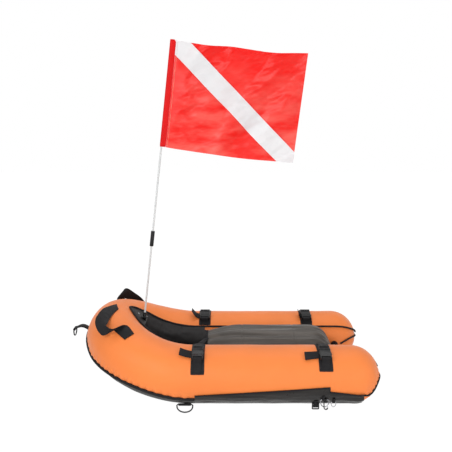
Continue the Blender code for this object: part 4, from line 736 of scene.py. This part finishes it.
def build_skirts():
    fore = span(SKIRT_FRONT_X, SKIRT_STEP_X, 90)
    aft = span(SKIRT_STEP_X + 0.004, SKIRT_REAR_X, 26)
    for side in ("port", "starboard"):
        rows = []
        for x in fore + [SKIRT_STEP_X + 0.001] + aft:
            row = []
            top = skirt_top(x)
            for angle in span(top, SKIRT_LOW_ANGLE, 14):
                edge = min(abs(angle - top), abs(angle - SKIRT_LOW_ANGLE), 6.0) / 6.0
                wrinkle = 0.0030 * abs(noise.noise(Vector((x * 7.0, angle / 6.0, 1.0)))) * edge
                wrinkle += 0.0012 * abs(noise.noise(Vector((x * 30.0, angle / 5.0, 3.0)))) * edge
                row.append(skin(leg_u(x), angle, CLOTH_LIFT + SKIRT_LIFT + wrinkle + skirt_flap(x, angle)))
            rows.append(on_side(side, row))
        out = Vector((0, -1 if side == "port" else 1, 0))
        item = cloth_piece(side + "_flap", rows, skirt_grey, rows[40][7], out, SKIRT_T)
        placed(item, "hull", "grey_cloth", side + "_skirt")
        build_skirt_binding(side, out)


def build_skirt_binding(side, out):
    """Black tape sewn along the skirt's upper edge."""
    for part, places in (("fore", span(SKIRT_FRONT_X, SKIRT_STEP_X, 80)),
                         ("aft", span(SKIRT_STEP_X + 0.001, SKIRT_REAR_X, 24))):
        rows = []
        for x in places:
            top = skirt_top(x)
            lift = CLOTH_LIFT + TAPE_LIFT + skirt_flap(x, top)
            row = [skin(leg_u(x), angle, lift) for angle in span(top + 0.4, top - 2.6, 3)]
            rows.append(on_side(side, row))
        item = cloth_piece(side + "_" + part + "_tape", rows, binding, rows[10][1], out, TAPE_T)
        placed(item, "hull", "black_cloth")


def build_well():
    front = leg_u(LINER_REAR_X)

    def angles(u):
        return rim_angle(u) + 1.2, LINER_BOTTOM_ANGLE

    marks = band_marks(front, HULL_END - front)
    lift = CLOTH_LIFT + LINER_LIFT
    item = cloth_band("well_skin", marks, angles, lift, well_black, 30, 0.0022, WELL_SEAMS)
    placed(item, "hull", "black_cloth", "well_liner")


def seam_point(x, rise, inboard, lift):
    """A point of the port stern's seam, rise above the tube's middle."""
    u = leg_u(x)
    radius = max(centre_line(u)[1], 0.001)
    angle = math.degrees(math.asin(max(min(rise / radius, 1.0), -1.0)))
    return skin(u, 180.0 - angle if inboard else angle, lift)


def smooth_line(points, steps):
    """A Catmull-Rom curve through points."""
    result = []
    count = len(points)
    for k in range(count - 1):
        p0, p1, p2, p3 = (points[max(min(j, count - 1), 0)] for j in (k - 1, k, k + 1, k + 2))
        for j in range(steps):
            t = j / steps
            result.append(0.5 * ((2 * p1) + (p2 - p0) * t + (2 * p0 - 5 * p1 + 4 * p2 - p3) * t * t
                                 + (3 * p1 - p0 - 3 * p2 + p3) * t ** 3))
    return result + [points[-1]]


def build_pipings():
    rim = []
    for u in band_marks(0.15, HULL_END - 0.15):
        close = max(0.6 - min(u, HULL_END - u), 0.0) / 0.6
        rim.append(skin(u, rim_angle(u) - 22.0 * close ** 2, PIPING_R + PIPING_LIFT))
    placed(tube_line("rim_cord", rim, PIPING_R, binding), "hull", "black_cloth", "rim_piping")
    front = leg_u(SKIRT_FRONT_X - 0.0012)
    sunk = BOW_PIPING_R - BOW_PIPING_SUNK
    bow = [skin(u, seam_angle(u) + 1.0, sunk) for u in band_marks(front, HULL_END - front)]
    placed(tube_line("bow_cord", bow, BOW_PIPING_R, binding, 12), "hull", "black_cloth", "bow_piping")
    sunk = PIPING_R - STERN_PIPING_SUNK
    points = [seam_point(x, rise, False, sunk) for x, rise in STERN_SEAM]
    points.append(skin(0.0, 90.0, sunk))
    points += [seam_point(x, rise, True, sunk) for x, rise in STERN_SEAM_INNER]
    for side in ("port", "starboard"):
        cord = tube_line(side + "_stern_cord", smooth_line(on_side(side, points), 5), PIPING_R, binding)
        placed(cord, "hull", "black_cloth", side + "_stern_piping")


def inner_half_width(z, gap):
    """Half the room between the legs at height z, less a gap."""
    inside = max(TUBE_R ** 2 - (z - LEG_Z) ** 2, 0.0)
    return TUBE_SPREAD - math.sqrt(inside) - gap


def deck_edge_z(x):
    rim_z = LEG_Z + TUBE_R * math.sin(math.radians(RIM_ANGLE + 4.0))
    if x >= DECK_FLAT_X:
        return rim_z
    share = (x - DECK_FRONT_X) / (DECK_FLAT_X - DECK_FRONT_X)
    return DECK_FRONT_Z + (rim_z - DECK_FRONT_Z) * math.sin(math.radians(90.0) * share)


def deck_section(x, edge_z, crown, half, steps=44, wave=1.0):
    """One line across the deck, with its panel seams, long creases and gathers at the rear, times wave."""
    row = []
    for k in range(steps + 1):
        share = -1.0 + 2.0 * k / steps
        z = edge_z + crown * (1.0 - abs(share) ** 2.4)
        crease = 0.0040 * noise.noise(Vector((x * 4.0, share * 6.0, 2.0))) * (1.0 - abs(share) ** 6)
        for place, depth, spread in DECK_FOLDS:
            crease -= depth * bell(share - place - 0.05 * math.sin(x * 12.0 + 7.0 * place), spread)
        for seam in DECK_SEAMS:
            crease += 0.0007 * bell(x - seam, 0.012) - 0.0018 * bell(x - seam, 0.0035)
        gather = smooth_step((x - DECK_GATHER_X) / 0.05) * abs(share) ** 1.5
        crease += DECK_GATHER * gather * math.sin(share * 30.0 + x * 105.0)
        row.append(SHIFT + Vector((x, half * share, z + wave * crease)))
    return row


def build_deck():
    rows = []
    for x in span(DECK_FRONT_X, DECK_FALL_X, 110):
        edge_z = deck_edge_z(x)
        rows.append(deck_section(x, edge_z, DECK_CROWN, inner_half_width(edge_z, DECK_SIDE_GAP)))
    falls = 34
    top = deck_edge_z(DECK_FALL_X)
    for k in range(1, falls + 1):
        turn = math.radians(90.0) * k / falls
        x = DECK_FALL_X + (DECK_REAR_X - DECK_FALL_X) * math.sin(turn)
        edge_z = top - (top - DECK_REAR_Z) * (1.0 - math.cos(turn)) ** 1.5
        crown = max(DECK_CROWN * max(math.cos(turn), 0.0) ** 0.7, 0.004)
        half = inner_half_width(edge_z, DECK_SIDE_GAP + 0.0014 * k / falls)
        calm = smooth_step((k / falls - 0.60) / 0.40)
        rows.append(deck_section(x, edge_z, crown, half, wave=1.0 - calm))
    up = Vector((0, 0, 1))
    item = cloth_piece("deck_skin", rows, grey, rows[50][22], up, DECK_T)
    placed(item, "hull", "grey_cloth", "deck_cover")
    hem = []
    for x in span(DECK_FRONT_X - 0.0004, DECK_FRONT_X + DECK_HEM, 5):
        edge_z = deck_edge_z(max(x, DECK_FRONT_X))
        row = deck_section(x, edge_z, DECK_CROWN, inner_half_width(edge_z, DECK_SIDE_GAP + 0.0004))
        hem.append([point + up * 0.0022 for point in row])
    placed(cloth_piece("deck_hem", hem, binding, hem[2][22], up, HEM_T), "hull", "black_webbing")
    lip = [point + Vector((-0.0034, 0.0, -0.0006)) for point in rows[0][::4]]
    cord = tube_line("deck_lip", smooth_line(lip, 4), DECK_BINDING_R, binding, 12)
    placed(cord, "hull", "black_webbing", "deck_binding")


# Finer copies of the CAD nodes


def node_copy(node):
    """A bmesh of a CAD node with its split corners joined."""
    built = bmesh.new()
    built.from_mesh(frame["nodes"][node].data)
    bmesh.ops.remove_doubles(built, verts=built.verts, dist=0.00002)
    return built


def refined(name, item, material, sharp):
    """The item with its modifiers applied, as a new object with edges sharp above an angle."""
    item = mesh_object(name, applied(item), material)
    item.data.set_sharp_from_angle(angle=math.radians(sharp))
    return item


def soft_copy(node, name, material, levels=2):
    """A finer copy of a webbing node: quads, creased borders and a subdivided surface."""
    built = node_copy(node)
    bmesh.ops.join_triangles(built, faces=built.faces, angle_face_threshold=0.5, angle_shape_threshold=1.2)
    crease = built.edges.layers.float.get("crease_edge") or built.edges.layers.float.new("crease_edge")
    for edge in built.edges:
        if len(edge.link_faces) == 2 and edge.calc_face_angle(0.0) > math.radians(62.0):
            edge[crease] = 0.85
    mesh = finished(built, name)
    for layer in list(mesh.uv_layers):
        mesh.uv_layers.remove(layer)
    item = linked(name, mesh)
    modifier = item.modifiers.new("soft", "SUBSURF")
    modifier.levels = modifier.render_levels = levels
    return refined(name, item, material, 50.0)


def soft_piece(node, name, material, slot, levels=2):
    placed(soft_copy(node, name, material, levels), "hull", slot, node)


def bevelled_copy(node, material):
    """A copy of a moulded node whose edges are rounded, so that they catch the light."""
    built = node_copy(node)
    bmesh.ops.dissolve_limit(built, angle_limit=math.radians(1.5), verts=built.verts, edges=built.edges)
    name = node + "_moulding"
    item = linked(name, finished(built, name))
    modifier = item.modifiers.new("edges", "BEVEL")
    modifier.width = MOULDING_EDGE
    modifier.segments = 2
    modifier.limit_method = "ANGLE"
    modifier.angle_limit = math.radians(32.0)
    return refined(name, item, material, 40.0)


def body_of(node):
    """The CAD body that a node belongs to."""
    groups = frame["record"]["behaviour"]["bodies"]
    return next(body for body, members in groups.items() if node in members)


def strap_point(name, angle, lift=0.0, across=0.0):
    """A point on the tube under a strap, across metres ahead of its middle."""
    point = skin(leg_u(STRAP_X[name] - across), angle, lift)
    return point * MIRROR if name.startswith("starboard") else point


def strap_normal(name, angle, across):
    return (strap_point(name, angle, 0.01, across) - strap_point(name, angle, 0.0, across)).normalized()


def stitches(name, points, normals, material, pitch=0.0036, length=0.0022, radius=0.00035):
    """A row of thread stitches along a line of points on cloth."""
    built = bmesh.new()
    travelled = 0.0
    wanted = pitch / 2
    for k in range(len(points) - 1):
        step = points[k + 1] - points[k]
        reach = step.length
        while wanted <= travelled + reach and reach > 0:
            along = step.normalized()
            spot = points[k] + along * (wanted - travelled) + normals[k] * radius * 0.4
            side = along.cross(normals[k]).normalized()
            ring = []
            for end, size in ((-0.5, 0.5), (-0.3, 1.0), (0.3, 1.0), (0.5, 0.5)):
                centre = spot + along * (length * end)
                corners = [side * math.cos(t) + normals[k] * math.sin(t) for t in (0.0, 1.57, 3.14, 4.71)]
                ring.append([built.verts.new(centre + corner * radius * size) for corner in corners])
            for first, second in zip(ring, ring[1:]):
                for j in range(4):
                    built.faces.new((first[j], first[(j + 1) % 4], second[(j + 1) % 4], second[j]))
            built.faces.new(list(reversed(ring[0])))
            built.faces.new(ring[-1])
            wanted += pitch
        travelled += reach
    bmesh.ops.recalc_face_normals(built, faces=built.faces)
    return mesh_object(name, finished(built, name), material)


def joined(name, items):
    """Several meshes as one piece."""
    built = bmesh.new()
    for item in items:
        built.from_mesh(item.data)
    material = items[0].data.materials[0]
    for item in items:
        bpy.data.objects.remove(item, do_unlink=True)
    return mesh_object(name, finished(built, name), material)


def strap_stitching(name):
    """Two rows of stitches along a strap's patch and two across its lower end."""
    lines = []
    low = PATCH_LOW_ANGLE[name] + 2.0
    for across in (-PATCH_HALF + 0.0022, PATCH_HALF - 0.0022):
        angles = span(low, RIM_ANGLE - 6.0, 60)
        points = [strap_point(name, angle, STITCH_LIFT, across) for angle in angles]
        normals = [strap_normal(name, angle, across) for angle in angles]
        lines.append(stitches(name + "_row", points, normals, thread_dark))
    for angle in (low, low + 6.0):
        places = span(-PATCH_HALF + 0.002, PATCH_HALF - 0.002, 12)
        points = [strap_point(name, angle, STITCH_LIFT, across) for across in places]
        normals = [strap_normal(name, angle, 0.0)] * len(points)
        lines.append(stitches(name + "_row", points, normals, thread_dark))
    placed(joined(name + "_stitching", lines), "hull", "black_cloth")


def build_straps():
    for name in STRAP_X:
        soft_piece(name + "_patch", name + "_backing", backing, "black_cloth")
        soft_piece(name + "_anchor", name + "_loop", webbing, "black_webbing")
        strap = soft_copy(name + "_strap", name + "_webbing", webbing)
        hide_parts(name + "_strap")
        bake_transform(strap)
        strap_stitching(name)


def build_lead():
    """The front strap's webbing, drawn in to the deck's front corner and sewn there."""
    x = STRAP_X["port_front"]
    route = [skin(leg_u(x), 126.0, 0.0036), skin(leg_u(x + 0.001), 138.0, 0.0066),
             SHIFT + Vector((x + 0.006, -0.072, 0.1490)), SHIFT + Vector((x + 0.013, -0.050, 0.1470)),
             SHIFT + Vector((x + 0.020, -0.036, 0.1492))]
    line = smooth_line(route, 8)
    rows = []
    for k, point in enumerate(line):
        share = k / (len(line) - 1)
        half = 0.0122 - 0.0040 * smooth_step(share * 1.3)
        row = []
        for j in range(9):
            side = -1.0 + j / 4.0
            fold = 0.0024 * math.sin(math.pi * share) * math.cos(2.2 * side + 0.6)
            row.append(point + Vector((half * side, 0.2 * half * side * share, fold)))
        rows.append(row)
    item = cloth_piece("port_front_lead", rows, webbing, rows[0][4], Vector((0, 0, 1)), WEBBING_T)
    placed(item, "hull", "black_webbing")


def build_mouldings():
    """Buckles, slider, clip, ferrule, socket, cap and valve with rounded edges."""
    nodes = ["strap_slider", "snap_clip", "mast_ferrule", "mast_socket", "mast_cap", "valve_body",
             "valve_cap"]
    for name in STRAP_X:
        nodes += [name + "_female", name + "_male"]
    for node in nodes:
        placed(bevelled_copy(node, plastic), body_of(node), "black_plastic", node)


def build_trim():
    """Handles, tow tab, mast panel and the keepers of the rings."""
    for node in ("port_handle", "starboard_handle", "tow_tab", "mast_panel", "front_ring_keeper",
                 "slider_keeper", "rear_ring_keeper", "end_ring_keeper"):
        levels = 2 if "handle" in node else 1
        if node == "mast_panel":
            soft_piece(node, node + "_soft", well_black, "black_cloth", levels)
        else:
            soft_piece(node, node + "_soft", webbing, "black_webbing", levels)
    soft_piece("floor_panel", "floor_skin", sole_grey, "grey_cloth")


# Flag


def mast_matrix():
    turn = Matrix.Rotation(math.radians(MAST_LEAN), 4, "Y")
    return Matrix.Translation(SHIFT + Vector((MAST_X, 0.0, MAST_Z))) @ turn


def flag_matrix():
    """The mast's place, turned so that the flag's free end comes towards the port side."""
    return mast_matrix() @ Matrix.Rotation(math.radians(-FLAG_YAW), 4, "Z")


def wave(across, down):
    """The flag's slow waves, growing from the mast."""
    grow = min(across / 0.16, 1.0)
    phase = 2 * math.pi * (across + WAVE_SLOPE * down) / WAVE_LENGTH
    return WAVE_HEIGHT * grow * math.sin(phase)


def flag_sag(across):
    return FLAG_SAG * math.sin(math.pi * min(max(across / FLAG_L, 0.0), 1.0))


def flag_point(across, down):
    """A point of the flag in the mast's frame, with the small creases of thin cloth."""
    free = max(across - SLEEVE_W, 0.0)
    slip = Vector((across * 7.0 - down * 3.0, down * 17.0 + across * 9.0, 0.0))
    crease = 0.0060 * noise.noise(slip) + 0.0042 * noise.noise(slip * 2.1 + Vector((4, 1, 2)))
    crease += 0.0022 * noise.noise(slip * 4.6 + Vector((1, 8, 3)))
    crease *= smooth_step(free / 0.05)
    return Vector((across, wave(free, down) + crease, FLAG_TOP - down - flag_sag(across)))


def flag_panel(name, keep, material):
    """One sewn panel: the flat cloth cut along the stripe's lines, then hung in waves."""
    built = bmesh.new()
    layer = built.loops.layers.uv.new("cloth")
    columns = 110
    places = span(SLEEVE_W - SLEEVE_LAP, FLAG_L, columns)
    grid = []
    for down in span(0.0, FLAG_H, 88):
        grid.append([built.verts.new((across, down + flag_sag(across), 0.0)) for across in places])
    for first, second in zip(grid, grid[1:]):
        for j in range(columns):
            built.faces.new((first[j], first[j + 1], second[j + 1], second[j]))
    for offset, want in ((0.0, keep[0]), (STRIPE_LOW, keep[1])):
        if want:
            normal = Vector((-STRIPE_SLOPE, 1.0, 0.0)).normalized() * want
            bmesh.ops.bisect_plane(built, geom=built.verts[:] + built.edges[:] + built.faces[:],
                                   plane_co=(STRIPE_TOP, offset, 0.0), plane_no=normal, clear_inner=True)
    for face in built.faces:
        for loop in face.loops:
            loop[layer].uv = loop.vert.co.xy
    area = sum(face.calc_area() for face in built.faces)
    for vert in built.verts:
        vert.co = flag_point(vert.co.x, vert.co.y - flag_sag(vert.co.x))
    built.transform(flag_matrix())
    return mesh_object(name, finished(built, name), material, FLAG_T, 0.0), area


def build_flag():
    panels = (("flag_upper_cloth", (-1, 0), red, "red_cloth", "flag_upper_panel"),
              ("flag_stripe_cloth", (1, -1), white, "white_cloth", "flag_stripe"),
              ("flag_lower_cloth", (0, 1), red, "red_cloth", "flag_lower_panel"))
    for name, keep, material, slot, node in panels:
        item, area = flag_panel(name, keep, material)
        placed(item, "flag", slot, node)
    front = Vector((0, -1, 0))
    lines = []
    for offset in (-0.003, STRIPE_LOW + 0.003):
        points = []
        for across in span(SLEEVE_W, FLAG_L - 0.004, 120):
            down = STRIPE_SLOPE * (across - STRIPE_TOP) + offset
            if 0.003 < down < FLAG_H - 0.003:
                down -= flag_sag(across)
                points.append(flag_matrix() @ (flag_point(across, down) + front * 0.0004))
        lines.append(stitches("flag_row", points, [front] * len(points), red_thread, 0.004, 0.0026, 0.0003))
    placed(joined("flag_stitching", lines), "flag", "red_cloth")
    seam = [flag_matrix() @ (flag_point(SLEEVE_W + 0.001, down) + front * 0.0012)
            for down in span(0.004, FLAG_H - 0.004, 90)]
    row = stitches("sleeve_stitching", seam, [front] * len(seam), thread_pale, 0.004, 0.0028, 0.0004)
    placed(row, "flag", "red_cloth")
    placed(soft_copy("flag_sleeve", "sleeve_cloth", dark_red), "flag", "red_cloth", "flag_sleeve")


def finish_nodes():
    """Better materials on the CAD nodes that show as they are."""
    looks = ((rod_white, ("lower_mast", "upper_mast")), (dark_steel, ("front_ring", "tow_ring")),
             (bright_steel, ("panel_eyelet", "rear_ring", "end_ring", "snap_gate")), (film, ("air_bladder",)))
    for material, nodes in looks:
        for node in nodes:
            for slot in frame["nodes"][node].material_slots:
                slot.material = material


# Stage


def seen_rays(nodes, links):
    """1 for rays from the camera, in mirrors or through glass, 0 for the light that falls on things."""
    path = nodes.new("ShaderNodeLightPath")
    total = path.outputs["Is Camera Ray"]
    for name in ("Is Glossy Ray", "Is Transmission Ray"):
        either = nodes.new("ShaderNodeMath")
        either.operation = "MAXIMUM"
        links.new(total, either.inputs[0])
        links.new(path.outputs[name], either.inputs[1])
        total = either.outputs[0]
    return total


def build_stage():
    bpy.ops.mesh.primitive_plane_add(size=FLOOR_SIZE, location=(0.0, 2.0, -0.0005))
    floor = bpy.context.object
    floor.name = "floor"
    made = bpy.data.materials.new("pale_floor")
    made.use_nodes = True
    nodes = made.node_tree.nodes
    links = made.node_tree.links
    nodes.clear()
    diffuse = nodes.new("ShaderNodeBsdfDiffuse")
    diffuse.inputs["Color"].default_value = as_rgba(FLOOR_GREY)
    glow = nodes.new("ShaderNodeEmission")
    glow.inputs["Strength"].default_value = FLOOR_GLOW
    share = nodes.new("ShaderNodeMath")
    share.operation = "MULTIPLY"
    share.inputs[1].default_value = FLOOR_GLOW_SHARE
    mix = nodes.new("ShaderNodeMixShader")
    out = nodes.new("ShaderNodeOutputMaterial")
    links.new(seen_rays(nodes, links), share.inputs[0])
    links.new(share.outputs[0], mix.inputs["Fac"])
    links.new(diffuse.outputs[0], mix.inputs[1])
    links.new(glow.outputs[0], mix.inputs[2])
    links.new(mix.outputs[0], out.inputs["Surface"])
    floor.data.materials.append(made)


def build_world():
    world = bpy.data.worlds.new("studio")
    bpy.context.scene.world = world
    world.use_nodes = True
    nodes = world.node_tree.nodes
    links = world.node_tree.links
    background = nodes["Background"]
    background.inputs["Color"].default_value = (1.0, 1.0, 1.0, 1.0)
    level = nodes.new("ShaderNodeMapRange")
    level.inputs["To Min"].default_value = WORLD_LEVEL
    level.inputs["To Max"].default_value = 1.0
    links.new(seen_rays(nodes, links), level.inputs["Value"])
    links.new(level.outputs[0], background.inputs["Strength"])


def add_softbox(name, place, target, size, power):
    lamp = bpy.data.lights.new(name, "AREA")
    lamp.shape = "RECTANGLE"
    lamp.size, lamp.size_y = size
    lamp.energy = power
    item = linked(name, lamp)
    item.location = place
    item.rotation_euler = (Vector(target) - Vector(place)).to_track_quat("-Z", "Y").to_euler()


def build_lights():
    add_softbox("key_box", (-0.8, -2.2, 1.5), (0.0, 0.0, 0.3), (1.4, 1.0), 25.0)
    add_softbox("fill_box", (1.6, -1.9, 0.9), (0.1, 0.0, 0.25), (1.2, 1.2), 10.0)
    add_softbox("top_box", (0.1, 0.4, 2.2), (0.0, 0.0, 0.0), (1.8, 1.0), 14.0)
    add_softbox("low_box", (0.0, -1.7, 0.16), (0.0, -0.1, 0.12), (1.8, 0.25), 4.5)


def build_camera():
    data = bpy.data.cameras.new("camera")
    data.lens = CAMERA_LENS
    data.sensor_width = 36.0
    camera = linked("camera", data)
    camera.location = SHIFT + CAMERA_AT
    camera.rotation_euler = (math.radians(CAMERA_TILT), 0.0, 0.0)
    bpy.context.scene.camera = camera


bpy.context.scene.view_settings.view_transform = "Standard"
build_camera()
build_hull_skin()
build_sole()
build_skirts()
build_well()
build_pipings()
build_deck()
build_straps()
build_lead()
build_mouldings()
build_trim()
build_flag()
finish_nodes()
build_stage()
build_world()
build_lights()
